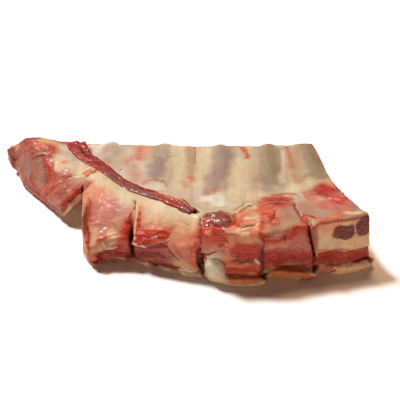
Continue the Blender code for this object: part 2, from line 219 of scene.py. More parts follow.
class Graph:  # adds nodes to a shader or geometry tree
    def __init__(self, tree):
        self.tree = tree

    def add(self, kind, settings=None, inputs=None, output=0):
        node = self.tree.nodes.new(kind)
        for key, value in (settings or {}).items():
            setattr(node, key, value)
        for key, value in (inputs or {}).items():
            if isinstance(value, Wire):
                self.tree.links.new(value.socket, node.inputs[key])
            else:
                node.inputs[key].default_value = value
        return Wire(self, node.outputs[output]) if node.outputs else None

    def mix(self, factor, a, b):  # colours
        a, b = (colour if isinstance(colour, Wire) else (*colour, 1) for colour in (a, b))
        return self.add("ShaderNodeMix", {"data_type": "RGBA"}, {0: factor, 6: a, 7: b}, output=2)

    def vector(self, operation, a, b):  # on vectors or colours
        return self.add("ShaderNodeVectorMath", {"operation": operation}, {0: a, 1: b})

    def noise(self, vector, size, detail=2.0, roughness=0.5, distortion=0.0):
        inputs = {"Detail": detail, "Roughness": roughness, "Distortion": distortion}
        return self.add("ShaderNodeTexNoise", {}, {"Vector": vector, "Scale": 1.0 / size, **inputs})

    def grain(self, place, scales, **noise):  # a noise drawn out along some of the axes
        return self.noise(self.vector("MULTIPLY", place, scales), 1.0, **noise)

    def pores(self, place, scale):  # the way from the walls of small cells
        return self.add(
            "ShaderNodeTexVoronoi", {"feature": "DISTANCE_TO_EDGE"}, {"Vector": place, "Scale": scale}
        )

    def bump(self, height, distance):  # distance in mm
        inputs = {"Strength": 1.0, "Distance": distance * mm, "Height": height}
        return self.add("ShaderNodeBump", {}, inputs)

    def attribute(self, name, output="Fac"):
        return self.add("ShaderNodeAttribute", {"attribute_name": name}, output=output)

    def placeInMm(self):
        place = self.add("ShaderNodeTexCoord", output="Object")
        return self.vector("MULTIPLY", place, (1 / mm, 1 / mm, 1 / mm))


# finishes
tissues = ("grey", "white", "fat", "pink", "mauve", "orange", "lean", "dark")
palette = {  # each tissue's deep and light tone
    "grey": ((0.20, 0.15, 0.11), (0.34, 0.27, 0.20)),
    # white: white tissue, and also painted glints of wet shine
    "white": ((0.58, 0.53, 0.44), (0.80, 0.78, 0.70)),
    "fat": ((0.52, 0.33, 0.20), (0.74, 0.56, 0.38)),
    "pink": ((0.42, 0.12, 0.09), (0.62, 0.26, 0.19)),
    "mauve": ((0.19, 0.055, 0.05), (0.36, 0.14, 0.12)),
    "orange": ((0.46, 0.11, 0.04), (0.68, 0.23, 0.10)),
    "lean": ((0.26, 0.014, 0.009), (0.52, 0.06, 0.032)),
    "dark": ((0.07, 0.007, 0.006), (0.25, 0.03, 0.022)),
}
washTones = {  # soft tones under the tissues, and how much each is meat
    "film": (0.43, 0.35, 0.245, 0.0),
    "paleFilm": (0.53, 0.44, 0.37, 0.0),
    "roseFilm": (0.38, 0.215, 0.165, 0.15),
    "tanFilm": (0.40, 0.28, 0.18, 0.1),
    "cream": (0.55, 0.46, 0.31, 0.0),
    # paleAndSheen: a pale tone, also laid as painted sheen on the wet membrane
    "paleAndSheen": (0.66, 0.64, 0.56, 0.0),
    # rib tones: the bone's tone under the membrane, and painted shade of the rib swells
    "ribShade": (0.31, 0.255, 0.195, 0.0),
    "ribBrownAndShade": (0.26, 0.195, 0.125, 0.0),
    "ribMauve": (0.29, 0.205, 0.19, 0.1),
    "ochre": (0.56, 0.27, 0.13, 0.3),
    "waxy": (0.86, 0.54, 0.33, 0.0),
    "peach": (0.58, 0.34, 0.20, 0.1),
    "gristle": (0.70, 0.42, 0.21, 0.0),
    "tan": (0.38, 0.23, 0.145, 0.2),
    "salmon": (0.58, 0.21, 0.125, 0.3),
    "rose": (0.43, 0.145, 0.11, 0.4),
    "mauve": (0.25, 0.08, 0.062, 0.8),
    "orange": (0.55, 0.20, 0.09, 0.5),
    "plum": (0.18, 0.062, 0.062, 0.7),
    "rust": (0.46, 0.095, 0.05, 0.9),
    "red": (0.44, 0.042, 0.024, 1.0),
    "crimson": (0.34, 0.024, 0.022, 1.0),
    "maroon": (0.17, 0.018, 0.014, 1.0),
    # paintedCutShade: near black, laid only as painted shade deep in the cuts
    "paintedCutShade": (0.05, 0.005, 0.004, 1.0),
}
muscleTissues = ("mauve", "lean", "dark")
fleshSizes = {
    "edge": 1.6,  # size of the noise that frays a tissue's border
    "fray": 0.42,
    "cloud": 6.5,
    "patch": 3.2,
    "speckle": 1.3,
    "grain": 0.5,
    "streak": (0.17, 0.02, 0.12),  # along the ribs
    "fibre": (0.10, 0.60, 1.0),  # along the strip
    "veins": (0.05, 0.3, 0.35),
    "veinWidth": 0.018,
    "blush": (0.09, 0.04, 0.09),
    "filmShades": ((0.88, 0.83, 0.78), (1.10, 1.13, 1.16)),
    "blushShades": ((1.0, 1.02, 1.0), (1.03, 0.9, 0.86)),
    "meatShades": ((0.72, 0.50, 0.46), (1.22, 1.38, 1.34)),
    "patchShades": ((0.90, 1.0, 1.06), (1.10, 0.94, 0.90)),
    "roughness": 0.56,
    "bump": 0.4,
}


def newMaterial(name):
    material = bpy.data.materials.new(name)
    material.use_nodes = True
    material.node_tree.nodes.clear()
    return material, Graph(material.node_tree)


def finishMaterial(graph, inputs):
    shader = graph.add("ShaderNodeBsdfPrincipled", {}, inputs)
    graph.add("ShaderNodeOutputMaterial", {}, {"Surface": shader})


def fleshFinish(name):
    sizes = fleshSizes
    material, graph = newMaterial(name)
    place = graph.placeInMm()
    cloud = graph.noise(place, sizes["cloud"], detail=4, roughness=0.6)
    speckle = graph.noise(place, sizes["speckle"], detail=3, roughness=0.65)
    ragged = graph.noise(place, sizes["edge"], detail=4, roughness=0.65)
    patch = graph.noise(place, sizes["patch"], detail=3, roughness=0.6, distortion=0.4)
    grain = graph.noise(place, sizes["grain"], detail=2)
    streak = graph.grain(place, sizes["streak"], detail=4, roughness=0.55)
    fibre = graph.grain(place, sizes["fibre"], detail=4, roughness=0.62)
    veins = graph.grain(place, sizes["veins"], detail=3, distortion=0.6)
    blush = graph.grain(place, sizes["blush"], detail=3)

    def shades(share, pair):  # between the two tints of a pair
        return graph.mix(share, *sizes[pair])

    filmVary = (streak * 0.6 + cloud * 0.3 + speckle * 0.1).step(0.34, 0.66)
    meatVary = (fibre * 0.4 + speckle * 0.35 + patch * 0.25).step(0.38, 0.62)
    film = graph.vector(
        "MULTIPLY", shades(filmVary, "filmShades"), shades(blush.step(0.4, 0.7), "blushShades")
    )
    flesh = graph.vector(
        "MULTIPLY", shades(meatVary, "meatShades"), shades(patch.step(0.36, 0.64), "patchShades")
    )
    muscle = graph.attribute("meat")
    colour = graph.vector("MULTIPLY", graph.attribute("tone", "Color"), graph.mix(muscle, film, flesh))
    for tissue in tissues:
        mask = (graph.attribute(tissue) + (ragged - 0.5) * sizes["fray"]).step(0.32, 0.68)
        coarse = fibre * 0.6 + speckle * 0.4 if tissue in muscleTissues else cloud * 0.5 + speckle * 0.5
        deep, light = palette[tissue]
        colour = graph.mix(mask * 0.9, colour, graph.mix(coarse.step(0.34, 0.66), deep, light))
        if tissue in muscleTissues:
            muscle = muscle + mask
    muscle = muscle.step(0.0, 1.0)
    seam = (veins - 0.5).size().step(0.0, sizes["veinWidth"])
    colour = graph.mix((1 - seam) * muscle * 0.3, colour, palette["fat"][0])  # threads of fat
    wet = graph.attribute("wet")
    relief = muscle * (fibre * 0.6 + speckle * 0.5) + (1 - muscle) * (streak * 0.3 + speckle * 0.3)
    finishMaterial(
        graph,
        {
            "Subsurface Weight": 0.08,
            "Subsurface Radius": (1.0, 0.35, 0.2),
            "Subsurface Scale": 1.6 * mm,
            "Coat Roughness": 0.16,
            "IOR": 1.4,
            "Specular IOR Level": 0.25,
            "Base Color": colour,
            "Roughness": sizes["roughness"] - muscle * 0.08 - wet * 0.2 + (speckle - 0.5) * 0.25,
            "Coat Weight": wet * 0.55 + muscle * 0.12,
            "Normal": graph.bump(relief + grain * (0.1 + muscle * 0.12), sizes["bump"]),
        },
    )
    return material


# meshes
def linked(name, mesh):
    obj = bpy.data.objects.new(name, mesh)
    bpy.context.scene.collection.objects.link(obj)
    return obj


def baked(obj):  # the mesh as its modifiers leave it, and no modifiers
    bpy.context.view_layer.update()
    graph = bpy.context.evaluated_depsgraph_get()
    mesh = bpy.data.meshes.new_from_object(obj.evaluated_get(graph))
    mesh.name = obj.name
    obj.modifiers.clear()
    obj.data = mesh
    return obj


def fused(obj, voxel, material):  # one closed skin of even faces
    even = obj.modifiers.new("even", "REMESH")
    even.mode = "VOXEL"
    even.voxel_size = voxel * mm
    baked(obj)
    obj.data.materials.clear()
    obj.data.materials.append(material)
    return obj


def evenSkin(name, nodes, voxel, material):  # nodes: the CAD nodes in it, and how far each is grown
    whole = bmesh.new()
    for node, growth in nodes.items():
        bm = bmesh.new()
        bm.from_mesh(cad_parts[node].data)
        bmesh.ops.remove_doubles(bm, verts=bm.verts, dist=0.02 * mm)
        bm.normal_update()
        for vertex in bm.verts:
            vertex.co += vertex.normal * growth * mm
        part = bpy.data.meshes.new("part")
        bm.to_mesh(part)
        bm.free()
        whole.from_mesh(part)
        bpy.data.meshes.remove(part)
    mesh = bpy.data.meshes.new(name)
    whole.to_mesh(mesh)
    whole.free()
    return fused(linked(name, mesh), voxel, material)


def fieldNoise(places, size, seed):  # one value from about -1 to 1 for each place
    spots = places / np.array(size) + seed * np.array((17.31, 5.93, 11.17))
    cell = np.floor(spots).astype(np.int64)
    part = spots - cell
    fade = part * part * (3 - 2 * part)
    total = np.zeros(len(spots))
    for corner in np.ndindex(2, 2, 2):
        key = (cell + corner) @ np.array((73856093, 19349663, 83492791)) & 0xFFFFFFFF
        key = (key ^ key >> 15) * 0x2C1B3C6D & 0xFFFFFFFF
        key = (key ^ key >> 12) * 0x297A2D39 & 0xFFFFFFFF
        slope = ((key[:, None] >> np.array((3, 11, 19))) & 255) / 127.5 - 1
        weight = np.prod(np.where(corner, fade, 1 - fade), axis=1)
        total += ((part - corner) * slope).sum(1) * weight
    return total * 1.7


def lumpsOf(places, layers):  # each layer's size in mm, seed and height in mm
    return sum(fieldNoise(places, size, seed) * height for size, seed, height in layers)


def smooth(share):
    share = np.clip(share, 0, 1)
    return share * share * (3 - 2 * share)


paintSizes = {
    "leap": 12,  # places of a route that are farther apart leap over a cut
    "reach": 3,  # beyond twice the half width of a route
    "even": 4,  # how far above or below a route counts for nothing
    "warpWide": (7.0, 1.3, (1, 2, 3)),  # size, amount and seeds
    "warpNarrow": (2.6, 0.6, (10, 11, 12)),
    "paintWarp": 0.9,
    "stainWarp": 1.3,
    "stainNear": 20,
    "strandLength": 7,
    "strandWidth": 0.9,
}


class Skin:  # a mesh's places in mm, with tones and tissues painted on them
    def __init__(self, obj):
        mesh = obj.data
        count = len(mesh.vertices)
        self.obj = obj
        self.places = np.empty(count * 3, np.float32)
        mesh.vertices.foreach_get("co", self.places)
        self.places = self.places.reshape(-1, 3).astype(float) / mm
        edges = np.empty(len(mesh.edges) * 2, np.int32)
        mesh.edges.foreach_get("vertices", edges)
        self.edges = edges.reshape(-1, 2)
        self.neighbours = np.bincount(self.edges.ravel(), minlength=count)
        self.fields = {name: np.zeros(count) for name in (*tissues, "wet")}
        self.tone = np.tile(washTones["film"], (count, 1))
        self.push = np.zeros(count)
        self.readNormals()
        self.readWarp()

    def readNormals(self):
        normals = np.empty(len(self.places) * 3, np.float32)
        self.obj.data.vertex_normals.foreach_get("vector", normals)
        self.normals = normals.reshape(-1, 3).astype(float)

    def readWarp(self):
        wide, narrow = (
            np.stack([fieldNoise(self.places, size, seed) * amount for seed in seeds], axis=1)
            for size, amount, seeds in (paintSizes["warpWide"], paintSizes["warpNarrow"])
        )
        self.warp = wide + narrow

    def relax(self, share, rounds):  # share: 0 keeps a vertex, 1 moves it to its neighbours
        a, b = self.edges.T
        share = np.broadcast_to(np.asarray(share, float), len(self.places))[:, None]
        for _ in range(rounds):
            total = np.empty_like(self.places)
            for axis in range(3):
                line = self.places[:, axis]
                total[:, axis] = np.bincount(a, line[b], len(line)) + np.bincount(b, line[a], len(line))
            self.places += (total / self.neighbours[:, None] - self.places) * share
        self.write()
        self.readNormals()

    def write(self):
        self.obj.data.vertices.foreach_set("co", (self.places * mm).ravel().astype(np.float32))
        self.obj.data.update()

    def under(self, route, halfWidth, warp):  # vertices near a route, and where they are along it
        line, facing = routeOnSolids(route)
        reach = halfWidth * 2 + paintSizes["reach"]
        near = (self.places > line.min(0) - reach) & (self.places < line.max(0) + reach)
        chosen = np.flatnonzero(near.all(1))
        here = self.places[chosen] + self.warp[chosen] * warp
        normals = self.normals[chosen]
        gap = np.full(len(chosen), 1e9)
        side, along, total = np.zeros(len(chosen)), np.zeros(len(chosen)), 0.0
        ends = list(zip(line, line[1:])) or [(line[0], line[0] + (0.01, 0, 0))]
        for start, end in ends:
            way = end - start
            length = np.linalg.norm(way)
            if length < paintSizes["leap"]:
                share = np.clip((here - start) @ way / length**2, 0, 1)
                away = here - start - share[:, None] * way
                off = (away * normals).sum(1)  # how far above or below the route
                flat = np.linalg.norm(away - off[:, None] * normals, axis=1)
                flat += 3 * np.clip(np.abs(off) - paintSizes["even"], 0, None)
                better = flat < gap
                gap = np.where(better, flat, gap)
                side = np.where(better, (np.cross(way / length, away) * normals).sum(1), side)
                along = np.where(better, total + share * length, along)
                total += length
        seen = smooth((normals @ facing / np.linalg.norm(facing) + 0.25) / 0.5)
        return chosen, gap, side, along, max(total, 0.1), seen

    def wash(self, tone, halfWidth, strength, *route):  # a broad soft tone
        warp = min(2.2, 0.6 + 0.22 * halfWidth)
        chosen, gap, _, _, _, seen = self.under(route, halfWidth, warp)
        cover = (strength * smooth((1.6 - gap / halfWidth) / 1.25) * seen)[:, None]
        self.tone[chosen] += (np.array(washTones[tone]) - self.tone[chosen]) * cover

    def stain(self, tone, strength, pixel, across, high):  # a patch as large as the picture shows it
        spot, _ = onSolids(pixel)
        eye = np.array(cameraSizes["eye"])
        column, row = inPicture(self.places)
        away = np.stack([column - pixel[0], row - pixel[1]], axis=1)
        away += self.warp[:, :2] * paintSizes["stainWarp"]
        gap = np.hypot(away[:, 0] / across, away[:, 1] / high)
        towards = eye - self.places
        towards /= np.linalg.norm(towards, axis=1)[:, None]
        seen = smooth(((self.normals * towards).sum(1) + 0.1) / 0.25)
        near = smooth(2 - np.linalg.norm(self.places - spot, axis=1) / paintSizes["stainNear"])
        share = strength * smooth((1.45 - gap) / 0.9) * seen * near
        self.tone += (np.array(washTones[tone]) - self.tone) * share[:, None]

    def paint(self, tissue, halfWidth, push, *route):  # a tissue with a border, in strands along the route
        sizes = paintSizes
        chosen, gap, side, along, total, seen = self.under(route, halfWidth, sizes["paintWarp"])
        strands = [along / sizes["strandLength"], side / sizes["strandWidth"], np.full(len(gap), total)]
        strands = np.stack(strands, axis=1)
        strand = fieldNoise(strands, 1.0, 21)
        taper = 1 - 0.5 * np.abs(2 * along / total - 1) ** 3
        width = halfWidth * taper * (1 + 0.35 * fieldNoise(strands * (1.6, 0.2, 1), 1.0, 22))
        soft = min(1.2, 0.48 + halfWidth * 0.32)
        cover = np.clip(0.5 + (width - gap + strand * (0.2 + halfWidth * 0.35)) / (2 * soft), 0, 1) * seen
        if tissue == "wet":
            self.fields["wet"][chosen] = np.maximum(self.fields["wet"][chosen], cover)
            return
        self.push[chosen] += push * smooth(1.2 - gap / (width * 1.3 + 0.3)) * seen * (1 + 0.7 * strand)
        for name in tissues:
            self.fields[name][chosen] *= 1 - cover
        if tissue != "none":
            self.fields[tissue][chosen] = np.maximum(self.fields[tissue][chosen], cover)

    def lay(self, washes=(), patchesAndShade=(), strokes=(), wet=()):  # whole lists of paint, in this order
        for wash in washes:
            self.wash(*wash)
        for stain in patchesAndShade:
            self.stain(*stain)
        for stroke in strokes:
            self.paint(*stroke)
        for halfWidth, *route in wet:
            self.paint("wet", halfWidth, 0.0, *route)

    def cover(self, tone, share=1.0):  # a tone laid on by a rule instead of a route
        share = np.broadcast_to(share, len(self.places))
        self.tone += (np.array(washTones[tone]) - self.tone) * np.clip(share, 0, 1)[:, None]

    def depthInCuts(self, reach):  # 1 deep between two walls, 0 in the open
        depth = np.zeros(len(self.places))
        for i, (place, normal) in enumerate(zip(self.places * mm, self.normals)):
            hit = solids.ray_cast(Vector(place + normal * 0.7 * mm), Vector(normal), reach * mm)
            if hit[0] is not None:
                depth[i] = 1 - hit[3] / (reach * mm)
        return smooth(depth * 1.4)

    def finish(self):  # moves the skin by its pushes and keeps the paint as attributes
        self.places += self.normals * self.push[:, None]
        self.places[:, 2] = np.maximum(self.places[:, 2], 0.02 + 0.1 * (self.push - self.push.min()))
        self.write()
        attributes = self.obj.data.attributes
        for name, values in {**self.fields, "meat": self.tone[:, 3]}.items():
            attributes.new(name, "FLOAT", "POINT").data.foreach_set("value", values.astype(np.float32))
        tone = (self.tone * (1, 1, 1, 0) + (0, 0, 0, 1)).ravel().astype(np.float32)
        attributes.new("tone", "FLOAT_COLOR", "POINT").data.foreach_set("color", tone)
        self.obj.data.shade_smooth()
        return self.obj


# what is painted where
# Washes are tone, half width, strength and route; strokes are tissue, half width, push and route.
# A pair is a pixel of the picture, three numbers are a place in mm.
tipWashes = [
    ("mauve", 9, 0.95, (14, 148), (26, 152), (38, 152)),
    ("mauve", 9, 0.95, (24, 166), (30, 180), (42, 194), (56, 206)),
    ("mauve", 9, 0.95, (36, 166), (46, 178), (56, 190)),
    ("rust", 3, 0.6, (20, 158), (24, 170), (30, 182)),
    ("rust", 3, 0.6, (24, 150), (32, 149)),
    ("rose", 2.5, 0.7, (28, 156), (34, 168), (38, 186)),
    ("rose", 3, 0.6, (13, 146), (20, 148)),
    ("ribMauve", 4, 0.6, (24, 161), (28, 172)),
    ("red", 3, 0.6, (26, 141), (33, 141), (38, 144)),
    ("rust", 4, 0.7, (44, 144), (52, 150)),
    ("red", 3, 0.7, (56, 147), (58, 156)),
    ("tan", 3.4, 0.45, (39, 161), (41, 176)),
    ("red", 3.4, 0.75, (47, 158), (50, 168), (53, 177)),
    ("tan", 2.6, 0.4, (35, 180), (46, 187)),
    ("rust", 4, 0.9, (42, 196), (51, 189), (60, 183)),
    ("rose", 4, 0.8, (48, 198), (60, 201)),
    ("peach", 3.4, 0.95, (42, 140.5), (54, 142), (66, 148)),
    ("cream", 5, 0.95, (60, 158), (68, 170)),
    ("orange", 2.2, 0.9, (64, 163), (67, 163)),
    ("rose", 4, 0.85, (64, 173), (72, 175)),
    ("paleFilm", 7, 0.95, (71, 147), (76, 160), (80, 170)),
    ("ribShade", 2.6, 0.6, (75, 144), (75, 160)),
    ("cream", 4, 0.8, (80, 164), (86, 168), (78, 176)),
    ("rose", 5, 0.9, (60, 184), (72, 184)),
    ("tanFilm", 3, 0.8, (74, 180), (86, 176)),
    ("tan", 3, 0.8, (70, 194), (78, 187), (85, 183)),
    ("red", 3, 0.9, (66, 206), (75, 197), (84, 188), (90, 182)),
    # the tip's lower edge: red of the cut meat, darkened as painted shade of that down-facing side
    ("crimson", 2.2, 0.9, (12, 160), (19, 176), (28, 189), (42, 201), (58, 212)),
]
tipStrokes = [
    ("pink", 2.2, 0.3, (13, 147), (20, 147)),
    # painted highlight on the left lump
    ("white", 0.5, 0.3, (16.5, 149), (16.5, 152)),
    # painted shade in the crease under the left lump
    ("dark", 1.3, -0.9, (11, 156), (14, 160), (18, 160)),
    ("dark", 0.9, 0, (20, 142.5), (26, 140), (32, 138), (38, 135.5)),
    ("dark", 0.6, 0, (42, 137), (52, 138.5), (64, 140)),
    ("lean", 1.2, 0.4, (31, 141), (38, 142)),
    ("mauve", 0.6, -0.3, (24, 146), (30, 158), (34, 170)),
    ("pink", 1.0, 0.3, (42, 143), (47, 149)),
    ("orange", 0.8, 0.3, (48, 143), (56, 147), (59, 152)),
    ("pink", 0.5, 0.4, (33, 156), (38, 153.5), (47, 153), (53, 151.5)),
    ("dark", 0.5, -0.4, (38, 157), (46, 156), (54, 157)),
    ("lean", 1.2, 0.3, (47, 160), (49, 168), (52, 177)),
    ("lean", 0.9, 0, (52, 164), (56, 174)),
    ("mauve", 1.2, -0.2, (24, 162), (27, 172)),
    ("lean", 1.0, 0.2, (28, 178), (34, 186), (40, 194)),
    ("lean", 1.6, 0.4, (43, 196), (50, 190), (58, 184)),
    ("lean", 0.7, 0.2, (50, 197), (57, 192)),
    ("pink", 1.0, 0.3, (52, 201), (60, 203)),
    ("fat", 0.7, 0.3, (48, 200), (56, 206), (62, 211)),
    ("fat", 1.6, 0.3, (57, 160), (60, 170)),
    ("orange", 0.9, 0.5, (62, 163), (67, 161.5)),
    ("white", 0.5, 0.3, (64, 170), (68, 172)),
    ("lean", 0.6, -0.2, (60, 176), (66, 179), (72, 177)),
    # painted glints of wet shine, as white specks
    ("white", 0.5, 0.4, (60, 181.5), (63, 180.5)),
    ("white", 0.4, 0.3, (64, 186), (66, 185)),
    ("white", 0.55, 0.4, (66, 191), (69, 190)),
    ("white", 0.3, 0.2, (61, 193), (63, 192)),
    ("fat", 0.9, 0.2, (74, 178), (84, 176)),
    ("pink", 0.8, 0.2, (78, 150), (82, 158)),
    ("mauve", 0.5, -0.2, (79, 160), (84, 160)),
    ("lean", 1.3, 0.3, (65, 206), (71, 200), (78, 192), (86, 185)),
    # painted shade in the crease under the cut strip and in the notch's gap
    ("dark", 0.7, -0.5, (66, 207.5), (72, 201), (79, 194)),
    ("dark", 0.7, -0.4, (84, 190), (90, 182)),
    ("fat", 1.3, 0.3, (62, 213), (68, 209), (74, 203), (80, 196), (84, 191)),
    ("white", 0.5, 0.3, (62, 213.5), (67, 211)),
]
flankCutWashes = [
    ("peach", 2.5, 0.9, (86, 170), (94, 166), (102, 163)),
    ("salmon", 2.2, 0.9, (85, 174), (90, 172)),
]
flankCutStrokes = [
    ("orange", 1.4, 0.8, (84, 173), (90, 172.5)),
    ("lean", 0.8, 0.3, (86, 176.5), (90, 175)),
    ("white", 0.5, 0.3, (84, 171), (91, 167)),
    ("pink", 0.9, 0.5, (90, 168), (101, 163)),
    # painted shade in the cut
    ("dark", 0.8, -1.0, (91, 174), (96, 170), (102, 165.5)),
    ("dark", 0.7, -0.3, (90, 161), (96, 163)),
    ("orange", 0.6, 0, (94, 174), (101, 169)),
]
filmWashes = [
    ("paleFilm", 12, 0.8, (96, 147), (120, 152), (130, 168)),
    ("paleFilm", 10, 0.6, (150, 182), (175, 188), (200, 198)),
    ("rose", 1.8, 0.6, (91, 141.5), (102, 141)),
    ("paleAndSheen", 3, 0.5, (93, 146), (98, 149)),
    # rib band: bone tone under the membrane and painted shade of the swell
    ("ribMauve", 3.6, 0.75, (102, 153), (106, 149), (111, 146)),
    ("ribShade", 4, 0.7, (108, 160), (116, 153), (126, 146)),
    ("tanFilm", 4, 0.5, (118, 165), (128, 156), (134, 148)),
    ("salmon", 4, 0.5, (140, 146), (147, 146)),
    ("salmon", 3.4, 0.45, (147, 150), (144, 157), (137, 160)),
    ("rust", 2.4, 0.5, (138, 150), (139, 158)),
    ("rose", 2.4, 0.5, (131, 158), (127, 163)),
    ("rose", 5, 0.45, (134, 168), (136, 178)),
    # rib band: bone tone and painted shade
    ("ribShade", 6, 0.65, (162, 145), (163, 158)),
    ("ribMauve", 5.5, 0.95, (161, 162), (156, 174)),
    ("rose", 1.6, 0.55, (142, 184), (148, 181), (158, 179.5), (165, 182)),
    # painted sheen where the membrane catches the light
    ("paleAndSheen", 3.0, 0.7, (149, 188), (156, 187), (161, 188)),
    ("cream", 5, 0.7, (177, 148), (178, 168), (183, 186)),
    ("tan", 3.4, 0.5, (190, 148), (192, 172)),
    ("rust", 2.4, 0.75, (191, 178), (195, 182)),
    ("red", 1.2, 0.5, (194, 180), (194, 184)),
    ("rose", 2.6, 0.4, (183, 182), (188, 186)),
    ("cream", 4, 0.7, (204, 148), (203, 170), (198, 184)),
    # rib band: bone tone and painted shade
    ("ribShade", 7, 0.9, (221, 146), (222, 160), (218, 176)),
    ("ribMauve", 4.5, 0.8, (224, 150), (222, 168), (213, 184), (210, 190)),
    ("rose", 2.6, 0.35, (204, 194), (214, 190), (222, 189)),
    # painted reflection of the window in the wet valley of the membrane
    ("paleAndSheen", 4.4, 0.75, (208, 199), (217, 198), (220, 204)),
    ("cream", 5, 0.7, (240, 162), (238, 184), (234, 196), (254, 196)),
    ("rust", 1.6, 0.85, (241, 145), (245, 150), (247, 157)),
    # rib band: bone tone and painted shade
    ("ribBrownAndShade", 7, 0.9, (269, 145), (270, 164), (270, 181)),
    ("ribMauve", 2.4, 0.7, (267, 177), (266, 188)),
    ("paleAndSheen", 1.6, 0.35, (283, 150), (283, 182)),
    ("tan", 2.2, 0.75, (287, 147), (290, 157), (293, 168)),
    ("rust", 0.9, 0.6, (288, 147), (290, 156), (292, 164)),
    ("tan", 5, 0.6, (299, 147), (299, 164)),
    ("rose", 3, 0.4, (296, 176), (301, 182)),
    # rib band: bone tone and painted shade
    ("ribBrownAndShade", 6, 0.95, (308, 146), (313, 160), (318, 177)),
    ("salmon", 1.4, 0.7, (312, 144), (318, 158)),
    ("cream", 4, 0.8, (290, 190), (304, 186), (312, 182)),
    ("crimson", 5, 0.95, (71, 142), (78, 142), (85, 147)),
    ("mauve", 3.4, 0.9, (114, 177), (124, 185), (138, 192)),
    ("mauve", 2.2, 0.8, (142, 194), (156, 198)),
    ("mauve", 2.2, 0.8, (184, 208), (197, 217)),
]
filmStrokes = [
    ("dark", 0.7, 0.3, (90, 139.5), (98, 139.5)),
    ("pink", 0.6, 0, (92, 142), (99, 143)),
    ("white", 0.5, 0.2, (99, 151), (102, 150)),
    ("pink", 0.6, 0, (139, 148), (137, 159)),
    ("dark", 0.35, -0.3, (119, 171), (124, 168)),
    ("grey", 0.4, -0.3, (147, 158), (162, 157.5), (178, 157)),
    ("pink", 0.6, 0.1, (142, 182), (148, 180), (156, 179)),
    ("mauve", 0.45, 0.2, (148, 181), (157, 179.5), (165, 183)),
    ("grey", 0.7, -0.2, (164, 182), (167, 187)),
    ("lean", 0.35, -0.3, (195, 143), (195.5, 153), (195, 163)),
    ("lean", 1.4, 0.6, (72, 142), (80, 142), (86, 147)),
    ("dark", 1.0, 0.2, (80, 147), (86, 153), (93, 158)),
    # painted glint
    ("white", 0.6, 0.3, (192, 217), (197, 219)),
]
shoulderWashes = [  # the membrane side of the last two blocks
    ("roseFilm", 8, 0.9, (300, 205), (315, 210), (332, 212), (352, 211)),
    ("roseFilm", 7, 0.9, (284, 212), (296, 220)),
    ("tanFilm", 5, 0.9, (272, 229), (286, 230), (298, 226)),
    ("rose", 4, 0.8, (328, 206), (338, 207), (350, 208)),
    ("rose", 3, 0.8, (308, 194), (313, 200)),
    ("ribMauve", 2, 0.8, (350, 202), (356, 208)),
    ("peach", 2.4, 0.8, (320, 182), (331, 181)),
    ("rose", 3.4, 0.7, (284, 208), (290, 204)),
    ("salmon", 3.4, 0.9, (260, 222), (262, 232)),
    ("rust", 5, 0.95, (262, 210), (270, 214), (274, 221)),
    ("rust", 1.8, 0.7, (274, 195), (284, 193.5), (292, 194)),
]
patchesAndShade = [  # tone, strength, pixel, half width and half height in pixels
    ("paleAndSheen", 0.25, (110, 150), 22, 9),
    ("rose", 0.8, (310, 197), 5, 6),
    ("orange", 0.6, (326, 183), 9, 2.5),
    ("rose", 0.9, (346, 205), 8, 6),
    ("rose", 0.9, (326, 204), 12, 5),
    ("crimson", 0.6, (332, 195), 9, 5),
    ("crimson", 1.0, (326, 191), 15, 6.5),
    ("red", 1.0, (340, 199), 10, 6),
    # pale spot under the painted highlight on the shoulder
    ("roseFilm", 0.6, (329, 199), 2.5, 1.5),
    ("crimson", 1.0, (275, 202), 16, 6),
    ("crimson", 0.8, (287, 199), 7, 4),
    ("rust", 1.0, (266, 209), 10, 7),
    ("rust", 0.95, (262, 225), 4, 9),
    ("cream", 0.5, (114, 194), 9, 5),
    ("crimson", 0.6, (152, 236), 17, 5),
    ("salmon", 1.0, (190, 246), 11, 8),
    ("rust", 0.9, (195, 254), 7, 11),
    # painted shadow under the arch of the second block, over its fat strip
    ("maroon", 0.8, (110, 261), 18, 3.5),
    ("rust", 0.9, (211, 238), 12, 7),
    ("salmon", 0.6, (243, 234), 20, 9),
    ("cream", 0.8, (212, 268), 9, 12),
    ("paleAndSheen", 0.3, (211, 267), 7, 9),
    ("crimson", 0.95, (247, 253), 18, 6),
    # painted shade along the crease under the red band
    ("maroon", 0.6, (247, 261), 16, 2),
    ("rust", 0.8, (248, 274), 16, 3),
    ("crimson", 0.9, (344, 259), 34, 6.5),
    ("waxy", 1.0, (346, 270), 32, 5),
    ("salmon", 0.6, (324, 269), 8, 4),
]
shoulderStrokes = [
    ("lean", 1.6, 0.2, (320, 189), (331, 191)),
    ("dark", 1.2, 0, (318, 192), (328, 194)),
    ("lean", 0.9, 0.4, (336, 202), (345, 203)),
    # painted highlight on the shoulder
    ("white", 0.7, 0.3, (329, 198), (330, 199)),
    ("dark", 0.7, 0.2, (335, 185), (341, 191), (347, 198), (350, 200)),
    ("dark", 2.0, 0.2, (268, 204), (276, 203), (282, 205)),
    ("lean", 1.6, 0.2, (267, 199), (275, 198), (285, 200)),
    ("mauve", 0.6, -0.3, (274, 195), (285, 193), (293, 195)),
    ("mauve", 0.4, -0.3, (294, 194), (300, 196), (305, 198)),
    ("lean", 1.4, 0.3, (262, 212), (268, 214), (272, 220)),
    ("pink", 0.8, 0.4, (274, 209), (277, 208)),
    ("orange", 1.0, 0.2, (259, 222), (262, 231)),
    # painted shade in the cuts across the top
    ("dark", 0.6, -0.6, (276, 210), (275, 217), (270, 223)),
    ("dark", 0.7, -0.9, (293, 203), (299, 212), (304, 219)),
    ("lean", 1.0, 0.3, (304, 214), (312, 217), (318, 220)),
    ("orange", 0.7, 0.3, (305, 218), (314, 220)),
]
